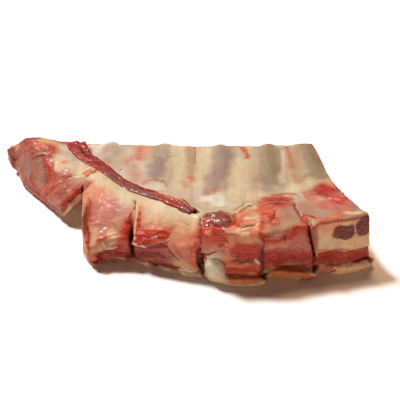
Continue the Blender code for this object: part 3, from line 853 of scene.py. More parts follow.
blockTwoWashes = [
    ("rose", 9, 0.95, (94, 196), (97, 215), (102, 236), (104, 250)),
    ("rose", 9, 0.9, (110, 206), (112, 224), (116, 240)),
    ("salmon", 5, 0.8, (94, 188), (101, 194), (108, 204)),
    ("cream", 5.5, 0.95, (92, 172), (106, 179), (120, 188), (133, 196)),
    ("rose", 4, 0.8, (108, 198), (118, 207), (122, 216)),
    ("peach", 3.4, 0.75, (92, 232), (92, 246), (98, 250)),
    ("peach", 3.4, 0.7, (112, 232), (118, 238), (110, 246)),
    ("tan", 3, 0.6, (121, 212), (121, 228)),
    ("salmon", 2.4, 0.95, (87, 196), (86, 215), (86, 240), (88, 258)),
    ("salmon", 4, 0.8, (90, 256), (96, 262)),
    ("red", 3.4, 0.95, (130, 211), (128, 226), (123, 240), (117, 250)),
    ("crimson", 3, 0.95, (97, 258), (106, 254), (118, 254), (131, 256)),
]
blockTwoStrokes = [
    ("pink", 1.2, 0.2, (100, 198), (106, 206), (111, 218)),
    ("pink", 1.3, 0.3, (87, 196), (85.5, 210), (85, 225), (85.5, 240)),
    ("lean", 0.7, -0.1, (90, 196), (90, 210), (91, 223)),
    ("lean", 0.8, 0.1, (87, 226), (87.5, 240), (89, 252)),
    # painted glints of wet shine on the face
    ("white", 0.4, 0.3, (96, 222), (99, 221)),
    ("white", 0.5, 0.3, (103, 229), (107, 228)),
    ("white", 0.4, 0.3, (113, 227), (116, 226)),
    ("fat", 0.7, 0.4, (108, 234), (118, 232)),
    ("fat", 0.6, 0.4, (110, 239), (117, 237)),
    ("fat", 0.5, 0.3, (110, 243), (116, 242)),
    ("lean", 2.0, 0.7, (98, 240), (102, 239), (106, 237)),
    ("orange", 0.9, 0.5, (100, 234), (104, 233)),
    ("fat", 0.8, 0.9, (103, 243.5), (107, 248), (112, 248.5), (118, 246)),
    ("white", 0.4, 0.3, (106, 247), (113, 248)),
    ("fat", 0.6, 0.3, (92, 250), (99, 249)),
    ("lean", 1.8, 0.3, (129.5, 214), (128, 227), (124, 239), (119, 248)),
    ("lean", 1.2, 0.2, (119, 250), (130, 250)),
    # painted shade down the edge of the cut
    ("dark", 0.8, -0.6, (131.5, 226), (131, 238)),
    ("dark", 1.4, -0.3, (99, 257), (106, 253), (114, 252), (124, 254), (132, 255)),
    ("orange", 1.2, 0.4, (91, 256), (96, 260)),
    ("pink", 0.7, 0.3, (88, 259), (94, 264)),
    ("lean", 0.8, 0.2, (88, 252), (91, 262)),
]
blockThreeWashes = [
    ("cream", 10, 0.95, (142, 202), (165, 208), (192, 224)),
    ("peach", 6, 0.75, (146, 222), (172, 228), (190, 234)),
    ("salmon", 2.6, 0.9, (140, 210), (141, 232)),
    ("red", 6, 0.95, (140, 237), (152, 235), (167, 234)),
    ("peach", 3, 0.9, (173, 236), (177, 246), (184, 256)),
    ("salmon", 6, 0.9, (178, 246), (190, 243), (198, 242)),
    ("rose", 5, 0.85, (180, 256), (190, 254)),
    ("rust", 4, 0.9, (196, 246), (199, 258), (198, 264)),
    ("mauve", 8, 0.9, (140, 254), (154, 256), (168, 260)),
    ("crimson", 5, 0.6, (142, 252), (160, 254)),
    ("rose", 3, 0.8, (134, 250), (136, 262)),
    ("peach", 3.4, 0.9, (178, 262), (190, 268), (198, 274)),
]
blockThreeStrokes = [
    # painted shade at the top of the cut
    ("dark", 0.6, -0.9, (135.5, 201), (134.5, 211)),
    ("fat", 0.7, 0.6, (137, 205), (136.5, 224), (134.5, 240)),
    ("lean", 1.0, -0.2, (139.5, 212), (139.5, 228), (141, 237)),
    ("pink", 0.7, 0, (145, 210), (144, 224)),
    ("grey", 0.4, -0.2, (176, 221), (188, 226)),
    ("lean", 4.2, 0.9, (141, 236), (148, 236), (158, 234), (168, 234)),
    ("orange", 1.1, 0.4, (146, 230), (156, 228), (167, 230)),
    ("pink", 0.9, 0.2, (150, 238), (158, 237)),
    ("fat", 0.7, 0.9, (131, 241), (136, 243.5), (143, 246), (150, 246)),
    ("white", 0.35, 0.3, (136, 244), (148, 246.5)),
    ("fat", 0.4, 0.5, (157, 243.5), (165, 241), (171, 238)),
    ("dark", 1.3, -0.3, (150, 248), (160, 247), (168, 247)),
    ("dark", 2.6, 0, (140, 254), (150, 254), (163, 257)),
    ("dark", 1.4, -0.2, (148, 262), (160, 264), (172, 268)),
    ("pink", 0.7, 0.2, (135, 249), (140, 250)),
    ("mauve", 0.7, 0.2, (141, 258), (154, 259)),
    # painted shade in the crease
    ("dark", 0.6, -0.7, (169, 249), (173, 256), (181, 262)),
    ("pink", 1.1, 0.4, (171, 240), (173, 250), (178, 257), (186, 262)),
    ("pink", 0.8, 0.3, (184, 253), (192, 251)),
    ("lean", 1.3, 0.2, (196, 242), (199, 252)),
    ("dark", 1.0, 0, (196, 250), (198, 262)),
    ("dark", 0.6, -0.3, (164, 264), (176, 267), (184, 268)),
    ("fat", 0.8, 0.5, (134, 265), (148, 266), (162, 269.5), (176, 273)),
    ("fat", 2.0, 0.5, (178, 270), (188, 273), (201, 277)),
    ("white", 0.7, 0.3, (170, 272), (184, 275), (202, 280)),
    ("white", 0.5, 0.3, (182, 268), (192, 271), (200, 273)),
]
blockFourWashes = [
    ("peach", 7, 0.95, (224, 230), (240, 232), (256, 234)),
    ("ochre", 4, 0.95, (228, 234), (244, 239), (260, 239)),
    ("orange", 4.5, 0.85, (236, 217), (246, 212), (257, 211)),
    ("salmon", 4, 0.8, (246, 220), (258, 222)),
    ("rust", 3, 0.85, (233, 224), (239, 221)),
    ("red", 6, 0.95, (203, 234), (213, 235), (222, 241), (228, 247)),
    ("rose", 4, 0.85, (206, 249), (214, 251), (219, 248)),
    ("crimson", 3, 0.9, (203, 258), (212, 256)),
    ("crimson", 5, 0.95, (234, 251), (249, 251), (262, 252)),
    ("maroon", 2.4, 0.7, (238, 257), (250, 258), (262, 258)),
    ("salmon", 3, 0.95, (229, 243), (231, 252), (228, 258)),
    ("cream", 7, 0.95, (211, 262), (212, 272), (220, 281)),
    ("paleAndSheen", 4, 0.4, (211, 264), (214, 274)),
    ("rust", 4, 0.95, (224, 266), (240, 265), (257, 266)),
    ("red", 3.4, 0.95, (230, 272), (248, 272), (261, 273)),
    ("orange", 3, 0.95, (232, 280), (250, 281), (267, 282)),
]
blockFourStrokes = [
    ("orange", 1.0, 0.3, (240, 216), (250, 213), (258, 209)),
    ("fat", 0.9, 0.4, (245, 220), (256, 217)),
    ("lean", 1.2, 0.3, (235, 222), (239, 227)),
    ("fat", 0.7, 0.3, (236, 212), (243, 208)),
    ("fat", 0.9, 1.3, (236, 214), (243, 209), (249, 205), (257, 208)),
    # painted shade above the raised fold
    ("dark", 0.6, -0.8, (232, 211), (238, 208.5), (243, 205), (249, 201.5)),
    ("lean", 0.5, -0.4, (249, 201.5), (254, 203), (258, 206)),
    ("mauve", 1.3, -0.4, (249, 206), (253, 207)),
    ("fat", 0.8, 0.3, (222, 230), (236, 233), (250, 234)),
    # painted shade in the crease
    ("dark", 0.45, -0.6, (240, 226.5), (248, 225.5), (257, 226)),
    # painted glints on the lip of the crease
    ("white", 0.45, 0.4, (240, 229), (250, 228)),
    ("white", 0.35, 0.3, (253, 220), (263, 220.5)),
    ("orange", 0.35, 0.2, (253, 222), (263, 222)),
    ("lean", 3.8, 0.6, (204, 234), (212, 236), (221, 241), (226, 247)),
    ("orange", 0.9, 0.3, (206, 232), (214, 233)),
    ("dark", 0.8, -0.3, (203, 255), (212, 253), (218, 251)),
    ("lean", 0.8, 0.2, (204, 258), (211, 258)),
    ("pink", 0.8, 0.5, (226, 243), (228, 252), (231, 258)),
    ("lean", 2.6, 0.4, (234, 249), (250, 249), (262, 249)),
    # painted shade along the groove under the red band
    ("dark", 1.0, 0.1, (236, 260), (250, 261), (262, 260)),
    ("dark", 0.6, -0.9, (231, 260.5), (244, 262), (256, 260.5)),
    ("orange", 1.2, 0.5, (222, 264), (235, 265), (250, 264)),
    ("fat", 1.0, 0.6, (255, 261), (259, 263), (261, 266)),
    ("lean", 1.2, 0.3, (222, 270), (240, 270), (254, 269)),
    ("lean", 1.0, 0.5, (232, 275), (246, 275), (256, 274)),
    ("dark", 1.4, -0.2, (258, 271), (262, 276)),
    ("pink", 0.8, 0.2, (220, 262), (226, 260)),
    ("none", 5.5, 0.5, (212, 262), (213, 269), (219, 277)),
    ("white", 0.5, 0.3, (213, 256), (214, 265), (219, 274)),
    ("orange", 1.0, 0.2, (236, 281), (252, 281), (266, 281)),
    ("fat", 0.7, 0.3, (224, 283), (240, 285), (264, 284)),
]
blockFiveWashes = [
    ("red", 3.6, 0.95, (265, 239), (275, 241), (286, 238)),
    ("red", 3.2, 0.95, (288, 236), (298, 231), (307, 228)),
    ("rose", 6, 0.95, (270, 248), (290, 249), (308, 247)),
    ("salmon", 3, 0.6, (270, 247), (284, 245)),
    ("crimson", 6, 0.95, (270, 258), (290, 260), (310, 260)),
    ("orange", 3.4, 0.95, (272, 274), (290, 274), (312, 275)),
    ("rust", 2, 0.85, (303, 278), (316, 279)),
]
blockFiveStrokes = [
    ("lean", 2.3, 0.3, (265, 239), (275, 241), (286, 238)),
    ("lean", 2.1, 0.2, (287, 237), (296, 232), (306, 228)),
    ("dark", 0.7, -0.6, (284, 235), (286, 242)),
    ("orange", 0.5, 0.3, (268, 237), (280, 238)),
    ("lean", 1.2, 0.1, (309, 226), (311, 236), (313, 246)),
    ("fat", 0.5, 0.4, (264, 232), (262, 238)),
    ("pink", 1.0, 0.4, (268, 248), (276, 246.5), (286, 245)),
    ("pink", 0.6, 0.2, (290, 248), (300, 246), (309, 250)),
    ("mauve", 1.2, 0.1, (282, 262), (295, 263), (310, 262)),
    ("lean", 1.6, 0.4, (269, 254), (275, 259)),
    ("orange", 0.6, 0.3, (273, 258), (277, 256)),
    ("dark", 0.9, -0.2, (276, 266), (290, 267), (306, 267)),
    # painted glint
    ("white", 0.6, 0.4, (311.5, 254), (314, 255.5)),
    ("fat", 1.0, 0.5, (268, 277), (270, 272)),
    ("orange", 1.0, 0.3, (278, 272), (292, 272), (304, 272)),
    ("lean", 0.8, 0.2, (300, 278.5), (314, 279)),
    ("fat", 0.7, 0.4, (308, 271), (316, 275), (323, 281)),
]
blockSixWashes = [
    ("rust", 2.4, 0.8, (318, 220), (330, 218.5), (342, 215)),
    ("crimson", 5, 0.95, (319, 257), (345, 257), (371, 256)),
    ("waxy", 4, 0.95, (320, 268), (345, 267), (370, 264)),
    ("salmon", 3.0, 0.6, (319, 269), (328, 270), (336, 270)),
]
# in the cuts: red walls, and dark strokes that are painted shade down the gaps, over the grooves they
# carve
cutStrokes = [
    ("lean", 1.6, 0.2, (263, 233), (265, 244)),
    ("dark", 0.9, -1.6, (262, 236), (264, 248)),
    ("dark", 2.2, -2.4, (263, 250), (264, 262), (266, 277)),
    ("lean", 1.8, 0.2, (303, 215), (306, 224), (310, 236), (311, 247)),
    ("dark", 2.0, -1.6, (309, 222), (312, 230), (315, 245), (315, 262), (314, 270)),
    ("dark", 0.7, -1.2, (200, 218), (200, 232), (201, 246)),
    ("dark", 1.7, -2.2, (200, 250), (200, 262), (203, 277)),
]
blockSixStrokes = [
    ("orange", 0.9, 0.1, (316, 219.5), (330, 218), (343, 215.5)),
    ("fat", 0.9, 0.1, (342, 213.5), (354, 212.5), (367, 213)),
    ("lean", 1.4, 1.0, (320, 262.5), (345, 262), (370, 260.5)),
    ("lean", 2.6, 0.2, (320, 256), (345, 256), (370, 255)),
    ("lean", 1.3, 0.3, (322, 259), (340, 260), (350, 259)),
    ("pink", 1.6, 0.5, (318, 270), (325, 269), (333, 267)),
    ("lean", 0.6, 0.1, (328, 272), (336, 269)),
    ("fat", 0.8, 0.3, (340, 267), (356, 265), (370, 262)),
]
endWashes = [  # the right end, which the picture doesn't show
    ("rust", 9, 0.8, (107, -28, 10), (103, -5, 14), (99, 15, 18), (93, 34, 24)),
    ("crimson", 4, 0.8, (107, -28, 9), (103, -5, 10), (99, 12, 13)),
    ("salmon", 4, 0.8, (107, -26, 28), (103, -10, 26), (100, 2, 22)),
    ("cream", 2.4, 0.8, (107, -28, 2.5), (103, -5, 3.5), (99, 15, 6), (94, 32, 11)),
]
endStrokes = [
    ("lean", 2.0, 0.2, (107, -26, 11), (103, -4, 13), (99, 16, 17), (94, 32, 23)),
    ("dark", 1.4, -0.2, (107, -28, 8), (103, -5, 10), (99, 12, 14)),
    ("fat", 0.8, 0.3, (108, -30, 15), (104, -8, 17), (100, 10, 18), (94, 32, 23)),
    ("fat", 0.7, 0.2, (103, -6, 12), (99, 14, 15), (95, 26, 20)),
    ("pink", 1.6, 0.1, (101, 0, 23), (97, 18, 24)),
]
backWashes = [  # the face sawn across the ribs
    ("rust", 8, 0.8, (88, 39, 24), (40, 43, 22), (-10, 47.5, 21), (-60, 51.5, 18), (-92, 54, 12)),
    ("crimson", 4, 0.7, (84, 39.5, 19), (40, 43.5, 18), (-10, 47.5, 17), (-58, 51.5, 15)),
    ("cream", 2, 0.8, (88, 39, 35), (40, 43, 31), (-10, 47.5, 28.5), (-60, 51.5, 27)),
    ("cream", 2.4, 0.8, (88, 40, 8), (40, 44, 8), (-10, 48, 8), (-60, 52, 8)),
    ("mauve", 5, 0.8, (-70, 53, 17), (-100, 56, 14)),
    ("salmon", 3, 0.7, (46, 42.5, 28), (12, 45.5, 26)),
]
backStrokes = [
    ("lean", 2.0, 0.1, (84, 39.5, 23), (50, 42, 21), (20, 45, 21)),
    ("lean", 2.0, 0.1, (5, 46, 21), (-25, 48, 20), (-55, 51, 18)),
    ("fat", 0.8, 0.3, (88, 39, 22), (45, 43, 20), (0, 46.5, 20), (-50, 51, 17), (-95, 55, 11)),
    ("fat", 0.6, 0.3, (70, 40.5, 25), (52, 42, 24), (20, 45, 25)),
    ("fat", 0.6, 0.3, (5, 46, 23), (-20, 48, 22), (-38, 49.5, 22)),
    ("dark", 1.2, -0.2, (80, 40, 18), (40, 43.5, 17), (-10, 47.5, 16), (-58, 51.5, 14)),
    ("pink", 1.4, 0.1, (8, 46, 25), (-25, 48.5, 24)),
]
allWashes = (
    endWashes + backWashes + tipWashes + filmWashes + shoulderWashes + blockTwoWashes + flankCutWashes
    + blockThreeWashes + blockFourWashes + blockFiveWashes + blockSixWashes
)
allStrokes = (
    endStrokes + backStrokes + tipStrokes + flankCutStrokes + filmStrokes + shoulderStrokes
    + blockTwoStrokes + blockThreeStrokes + blockFourStrokes + blockFiveStrokes + blockSixStrokes
    + cutStrokes
)
wetStrokes = [  # half width and route
    (4.0, (60, 185), (68, 190)),
    (2.0, (102, 229), (107, 228)),
    (3.0, (122, 189), (134, 193)),
    (3.0, (150, 187), (160, 188)),
    (4.0, (208, 198), (222, 199)),
    (3.5, (270, 201), (284, 202)),
    (1.5, (336, 199), (342, 203)),
    (4.0, (286, 212), (296, 218)),
    (3.0, (148, 236), (165, 234)),
    (3.0, (238, 228), (256, 226)),
    (3.0, (12, 148), (20, 152)),
]


# the body: lean, with the membrane over the ribs
ribNames = sorted(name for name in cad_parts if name.startswith("rib_"))
bodySizes = {
    "voxel": 0.85,
    "leanGrowth": 0.35,
    "ribGrowth": 0.45,
    "cutReach": 7.0,
    "sheetRounds": 90,  # of smoothing, for the membrane over the ribs
    "frontRounds": 12,
    "rimRounds": 24,
    "tip": (-64, -56),  # the flank tip's skin ends between these, along the strip
    "shutCut": -20,  # the cut to the left of this is nearly shut
    "lumps": ((6.0, 4, 0.4), (2.6, 5, 0.22)),
    "fibres": (((6.0, 1.9, 1.7), 6, 0.3),),
}
softCorners = [  # pixel, reach in mm: corners that sag round
    ((205, 284), 10),
    ((269, 279), 6),
    ((318, 274), 7),
    ((134, 264), 5),
    ((90, 266), 6),
]
cornerRounds = 45  # of smoothing


def roundCorners(skin):
    near = np.zeros(len(skin.places))
    for pixel, reach in softCorners:
        spot, _ = onSolids(pixel)
        near = np.maximum(near, smooth(1.5 - np.linalg.norm(skin.places - spot, axis=1) / reach))
    skin.relax(0.5 * near, cornerRounds)


def shapeBody(sizes):
    growth = {"lean": sizes["leanGrowth"], **{name: sizes["ribGrowth"] for name in ribNames}}
    skin = Skin(evenSkin("meatBody", growth, sizes["voxel"], fleshFinish("membrane")))
    x, y, z = skin.places.T
    above = smooth((skin.normals[:, 2] - 0.1) / 0.5)
    ribField = smooth((y + 22) / 14) * smooth((x + 66) / 12)
    skin.cuts = skin.depthInCuts(sizes["cutReach"])
    skin.cuts *= 1 - smooth((x - 86) / 4) * smooth((z - 16) / 4)  # not over the gristle
    skin.relax(0.08 + 0.07 * smooth((z - 7) / 4) + 0.35 * above, 6)  # more above than at the foot
    skin.relax(0.55 * above * ribField, sizes["sheetRounds"])
    front = smooth((-24 - y) / 8) * smooth((z - 9) / 6) * smooth((78 - x) / 8)
    skin.relax(0.4 * front, sizes["frontRounds"])
    rim = smooth((y - 32 + 0.055 * (x - 100)) / 6) * smooth((z - 20) / 5) * smooth((88 - x) / 6)
    skin.relax(0.5 * rim, sizes["rimRounds"])
    roundCorners(skin)
    return skin


def paintBody(skin, sizes):
    x, y, z = skin.places.T
    up, front, back, right = (
        smooth((skin.normals @ np.array(way) - low) / 0.4)
        for way, low in (((0, 0, 1), 0.2), ((0, -1, 0), 0.35), ((0, 1, 0), 0.4), ((1, 0, 0), 0.4))
    )
    tipFrom, tipTo = sizes["tip"]
    tip = 1 - smooth((x - tipFrom) / (tipTo - tipFrom))
    shut = x < sizes["shutCut"]
    cuts = skin.cuts
    skin.cover("tan")
    skin.cover("film", up * (1 - tip))
    skin.cover("mauve", up * tip)
    skin.cover("rose", front)
    skin.cover("rust", np.maximum(back, right))
    left = smooth((-skin.normals[:, 0] - 0.4) / 0.3) * (1 - tip)
    skin.cover("rose", left)
    skin.cover("rust", left * smooth((fieldNoise(skin.places, 9.0, 33) + 0.1) / 0.4) * 0.8)
    skin.lay(allWashes, patchesAndShade, allStrokes, wetStrokes)
    # painted shade: the meat in the cuts turns maroon, then near black, the deeper it lies between two
    # walls
    skin.cover("maroon", cuts * (1 - 0.5 * up))
    skin.cover("paintedCutShade", smooth(cuts * 1.6 - 0.9) * np.where(shut, 0.5, 1.0))
    skin.push += cuts * np.where(shut, 0.7, 0.0)
    for name in tissues:
        skin.fields[name] *= 1 - cuts
    meat = sum((skin.fields[name] for name in ("dark", "mauve")), skin.fields["lean"])
    meat = np.clip(meat + skin.tone[:, 3], 0, 1)
    lumps = lumpsOf(skin.places, sizes["lumps"])
    fibres = lumpsOf(skin.places, sizes["fibres"])
    edge = smooth((1 - np.abs(skin.normals).max(1)) / 0.25)  # strongest where faces meet
    skin.push += lumps * (0.25 + 0.75 * np.maximum(meat, edge)) + fibres * meat
    return skin.finish()


bodySkin = shapeBody(bodySizes)
others = [node for name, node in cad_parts.items() if name not in ("lean", *ribNames)]
solids = solidTree([bodySkin.obj, *others])
meatBody = paintBody(bodySkin, bodySizes)
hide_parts("lean")
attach(meatBody, "root")
print("body is done:", len(meatBody.data.polygons), "faces")

# outer fat
fatSizes = {
    "voxel": 0.9,
    "growth": 0.9,
    "lumps": ((5.0, 7, 0.45), ((4.0, 2.0, 1.4), 8, 0.3)),
}


def makeFat(sizes):
    skin = Skin(evenSkin("outerFat", {"fat_cap": sizes["growth"]}, sizes["voxel"], fleshFinish("fat")))
    skin.relax(0.3, 3)
    roundCorners(skin)
    under = smooth((-skin.normals[:, 2] - 0.2) / 0.4)
    patches = fieldNoise(skin.places, (34.0, 20.0, 20.0), 31)
    skin.cover("peach")
    skin.cover("cream", smooth((fieldNoise(skin.places, 14.0, 32) + 0.2) / 0.5) * 0.8)
    skin.cover("rose", smooth((patches - 0.05) / 0.3) * under * 0.7)
    skin.cover("rust", smooth((patches - 0.35) / 0.25) * under * 0.8)
    skin.lay(allWashes, patchesAndShade, allStrokes, wetStrokes)
    rim = smooth((1 - np.abs(skin.normals[:, 2])) / 0.5)
    skin.push += lumpsOf(skin.places, sizes["lumps"]) * (0.3 + 0.7 * rim)
    return skin.finish()


outerFat = makeFat(fatSizes)
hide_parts("fat_cap")
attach(outerFat, "root")
print("fat is done:", len(outerFat.data.polygons), "faces")

# sawn gristle of the last block
gristleSizes = {
    "voxel": 0.7,
    "growth": 0.95,
    "marrow": [((344.5, 232.5), 6.2, 4.7), ((363.5, 225), 4.0, 6.6)],  # pixel, half width and height
    "marrowDepth": 9.0,
    "squareness": 3.2,  # of the marrow spots: 2 is an oval
    "saw": (((9.0, 3.0, 0.9), 10, 0.14),),
    "pits": ((1.5, 11, 0.2),),
    "pitDepth": 0.2,
    "shades": ((0.88, 0.80, 0.72), (1.12, 1.18, 1.24)),
    "clotShades": ((0.05, 0.004, 0.006), (0.30, 0.025, 0.024)),
    # painted glints: specks of lighter red on the wet marrow
    "marrowGlint": (0.48, 0.12, 0.10),
}
gristleWashes = [
    ("cream", 5, 0.6, (322, 241), (335, 244)),
    ("salmon", 5, 0.85, (318, 226), (328, 225), (334, 222)),
    ("rose", 2.2, 0.5, (355, 222), (355, 236)),
    ("peach", 4, 0.6, (356, 243), (369, 242)),
    ("cream", 1.6, 0.9, (346, 215.5), (358, 215), (369, 215)),
    ("rust", 1.3, 0.9, (313, 223.5), (325, 220.5), (340, 217.5)),
    ("rust", 0.9, 0.8, (318, 250), (345, 250.5), (370, 249.5)),
    ("salmon", 3, 0.8, (109, -20, 30), (104, -6, 30)),
    ("rust", 1.2, 0.8, (108, -20, 18), (104, -4, 18)),
]
# painted shade on the gristle's wall in the last cut: maroon, with a little rust
gristleWallShade = [  # on the wall of the last cut
    ("maroon", 1.0, (311, 240), 6, 36),
    ("rust", 0.45, (311, 240), 6, 34),
]


def gristleFinish(sizes):
    material, graph = newMaterial("gristle")
    place = graph.placeInMm()
    cloud = graph.noise(place, 5.0, detail=4, roughness=0.6)
    fine = graph.noise(place, 0.9, detail=3, roughness=0.6)
    sawn = graph.grain(place, (0.12, 0.4, 1.6), detail=2)
    pores = graph.pores(place, 0.75)
    clots = graph.noise(place, 1.6, detail=4, roughness=0.7)
    marrow = (graph.attribute("marrow") + (clots - 0.5) * 0.7).step(0.36, 0.6)
    shade = graph.mix((cloud * 0.7 + sawn * 0.3).step(0.3, 0.7), *sizes["shades"])
    colour = graph.vector("MULTIPLY", graph.attribute("tone", "Color"), shade)
    bone = graph.mix(clots.step(0.42, 0.62), *sizes["clotShades"])
    # painted glints scattered over the marrow
    bone = graph.mix(fine.step(0.6, 0.74) * 0.35, bone, sizes["marrowGlint"])
    colour = graph.mix(marrow * 0.95, colour, bone)
    relief = sawn * 0.5 + fine * 0.3 - marrow * (1 - pores.step(0.02, 0.2)) * 0.6
    finishMaterial(
        graph,
        {
            "Subsurface Weight": 0.1,
            "Subsurface Radius": (1.0, 0.5, 0.3),
            "Subsurface Scale": 1.5 * mm,
            "Coat Weight": 0.06,
            "Coat Roughness": 0.25,
            "Base Color": colour,
            "Roughness": 0.5 + marrow * 0.15 + fine * 0.08,
            "Normal": graph.bump(relief, 0.3),
        },
    )
    return material


def makeGristle(sizes):
    finish = gristleFinish(sizes)
    skin = Skin(evenSkin("breastGristle", {"breastbone": sizes["growth"]}, sizes["voxel"], finish))
    skin.relax(0.3, 1)
    square = sizes["squareness"]
    marrow = np.zeros(len(skin.places))
    for pixel, across, high in sizes["marrow"]:
        spot, _ = onSolids(pixel)
        away = np.abs(skin.places + skin.warp * 0.8 - spot) / (across, sizes["marrowDepth"], high)
        marrow = np.maximum(marrow, 1.5 - (away**square).sum(1) ** (1 / square))
    skin.fields["marrow"] = np.clip(marrow, 0, 1)
    skin.cover("gristle")
    skin.lay(gristleWashes)
    # painted shade: the gristle's wall that faces the last cut turns maroon
    skin.cover("maroon", smooth((-skin.normals[:, 0] - 0.25) / 0.4))  # the wall of the last cut
    skin.lay(patchesAndShade=gristleWallShade)
    face = smooth((-skin.normals[:, 1] - 0.3) / 0.4)
    saw = lumpsOf(skin.places, sizes["saw"])
    pits = lumpsOf(skin.places, sizes["pits"]) - sizes["pitDepth"]
    skin.push += face * (saw + smooth((marrow - 0.4) / 0.3) * pits)
    return skin.finish()


breastGristle = makeGristle(gristleSizes)
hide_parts("breastbone")
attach(breastGristle, "root")
print("gristle is done")


# geometry node trees
def newTree(name, inputs):
    tree = bpy.data.node_groups.new(name, "GeometryNodeTree")
    tree.interface.new_socket("Geometry", in_out="INPUT", socket_type="NodeSocketGeometry")
    for label, value in inputs.items():
        kind = "NodeSocketInt" if isinstance(value, int) else "NodeSocketFloat"
        tree.interface.new_socket(label, in_out="INPUT", socket_type=kind).default_value = value
    tree.interface.new_socket("Geometry", in_out="OUTPUT", socket_type="NodeSocketGeometry")
    graph = Graph(tree)
    start = graph.add("NodeGroupInput")
    return graph, {name: start.beside(name) for name in ("Geometry", *inputs)}


def closeTree(graph, geometry, material):
    geometry = graph.add("GeometryNodeRealizeInstances", {}, {"Geometry": geometry})
    geometry = graph.add("GeometryNodeSetMaterial", {}, {"Geometry": geometry, "Material": material})
    graph.add("NodeGroupOutput", {}, {0: geometry})
    return graph.tree


def tube(graph, path, ring):  # the ring swept along the path
    return graph.add(
        "GeometryNodeCurveToMesh", {}, {"Curve": path, "Profile Curve": ring, "Fill Caps": True}
    )


def ringOf(graph, sides, radius):
    inputs = {"Resolution": sides, "Radius": radius}
    return graph.add("GeometryNodeCurvePrimitiveCircle", {"mode": "RADIUS"}, inputs)


def grown(name, mesh, tree, inputs):  # the mesh that a tree makes from another
    obj = linked(name, mesh)
    modifier = obj.modifiers.new("nodes", "NODES")
    modifier.node_group = tree
    for item in tree.interface.items_tree:
        if item.in_out == "INPUT" and item.name in inputs:
            modifier[item.identifier] = inputs[item.name]
    return baked(obj)


def pathMesh(name, places):
    mesh = bpy.data.meshes.new(name)
    edges = [(i, i + 1) for i in range(len(places) - 1)]
    mesh.from_pydata([Vector(place) * mm for place in places], edges, [])
    return mesh


# rib bones: their sawn ends show behind
ribSizes = {
    "halfWidth": 4.9,
    "halfThickness": 3.0,
    "sunk": 1.2,  # below the middle of the CAD rib
    "cover": 0.9,  # of membrane over the bone
    "steps": 24,
    "sides": 28,
    "taper": 0.35,  # at the front end, inside the meat
    "reach": 0.8,  # share of the CAD rib's front half
    "proud": 1.1,  # past the sawn face of the meat
    "shell": 1.05,  # round the marrow
    "marrowRim": 0.4,
    "marrowDepth": 0.2,
    "shellShades": ((0.52, 0.34, 0.23), (0.68, 0.50, 0.36)),
    "marrowShades": ((0.58, 0.28, 0.21), (0.26, 0.035, 0.03)),
}


def ribTree(inputs, sizes, material):
    graph, wires = newTree("ribBone", inputs)
    path = graph.add("GeometryNodeMeshToCurve", {}, {"Mesh": wires["Geometry"]})
    path = graph.add("GeometryNodeResampleCurve", {}, {"Curve": path, "Count": wires["Steps"]})
    along = graph.add("GeometryNodeSplineParameter", output="Factor")
    taper = 1 - along.step(0.6, 1.0) * sizes["taper"]
    path = graph.add("GeometryNodeSetCurveRadius", {}, {"Curve": path, "Radius": taper})
    oval = graph.add(
        "ShaderNodeCombineXYZ", {}, {"X": wires["Half Width"], "Y": wires["Half Thickness"], "Z": 1.0}
    )
    ring = ringOf(graph, sizes["sides"], 1.0)
    ring = graph.add("GeometryNodeTransform", {}, {"Geometry": ring, "Scale": oval})
    return closeTree(graph, tube(graph, path, ring), material)


def boneFinish(sizes):
    material, graph = newMaterial("bone")
    place = graph.placeInMm()
    cloud = graph.noise(place, 3.0, detail=3)
    fine = graph.noise(place, 0.7, detail=3, roughness=0.6)
    pores = graph.pores(place, 1.1).step(0.03, 0.2)
    marrow = (graph.attribute("marrow") + (fine - 0.5) * 0.3).step(0.4, 0.6)
    shell = graph.mix(cloud.step(0.35, 0.65), *sizes["shellShades"])
    core = graph.mix(pores, *sizes["marrowShades"])
    finishMaterial(
        graph,
        {
            "Subsurface Weight": 0.08,
            "Subsurface Scale": 1.0 * mm,
            "Coat Weight": 0.2,
            "Coat Roughness": 0.2,
            "Base Color": graph.mix(marrow, shell, core),
            "Roughness": 0.4 + fine * 0.15,
            "Normal": graph.bump(fine * 0.4 - marrow * pores * 0.6, 0.25),
        },
    )
    return material


membrane = solidTree([meatBody])


def nodePlaces(name):  # a CAD node's corners in mm
    return np.array([vertex.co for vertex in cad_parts[name].data.vertices]) / mm


def ribPath(name, sizes):  # the bone's middle line, read from the CAD rib
    places = nodePlaces(name)
    back = places[places[:, 1] > places[:, 1].max() - 1.0].mean(0)
    front = places[places[:, 1] < places[:, 1].min() + 1.0].mean(0)
    middle = places[np.abs(places[:, 1] - (back[1] + front[1]) / 2) < 5].mean(0)
    way = (back - middle) / np.linalg.norm(back - middle)
    front = middle + (front - middle) * sizes["reach"]
    places = [back, (back + middle) / 2, middle, (middle + front) / 2, front]
    for place in places:  # under the membrane, whose height is taken a little inside the edge
        above = place * (1, 1, 0) * mm + np.array((0, -3 * mm, 0.1))
        spot, _, _, _ = membrane.ray_cast(Vector(above), Vector((0, 0, -1)))
        place[2] = min(place[2] - sizes["sunk"], spot[2] / mm - sizes["halfThickness"] - sizes["cover"])
    places[0] += way * sizes["proud"]
    return places


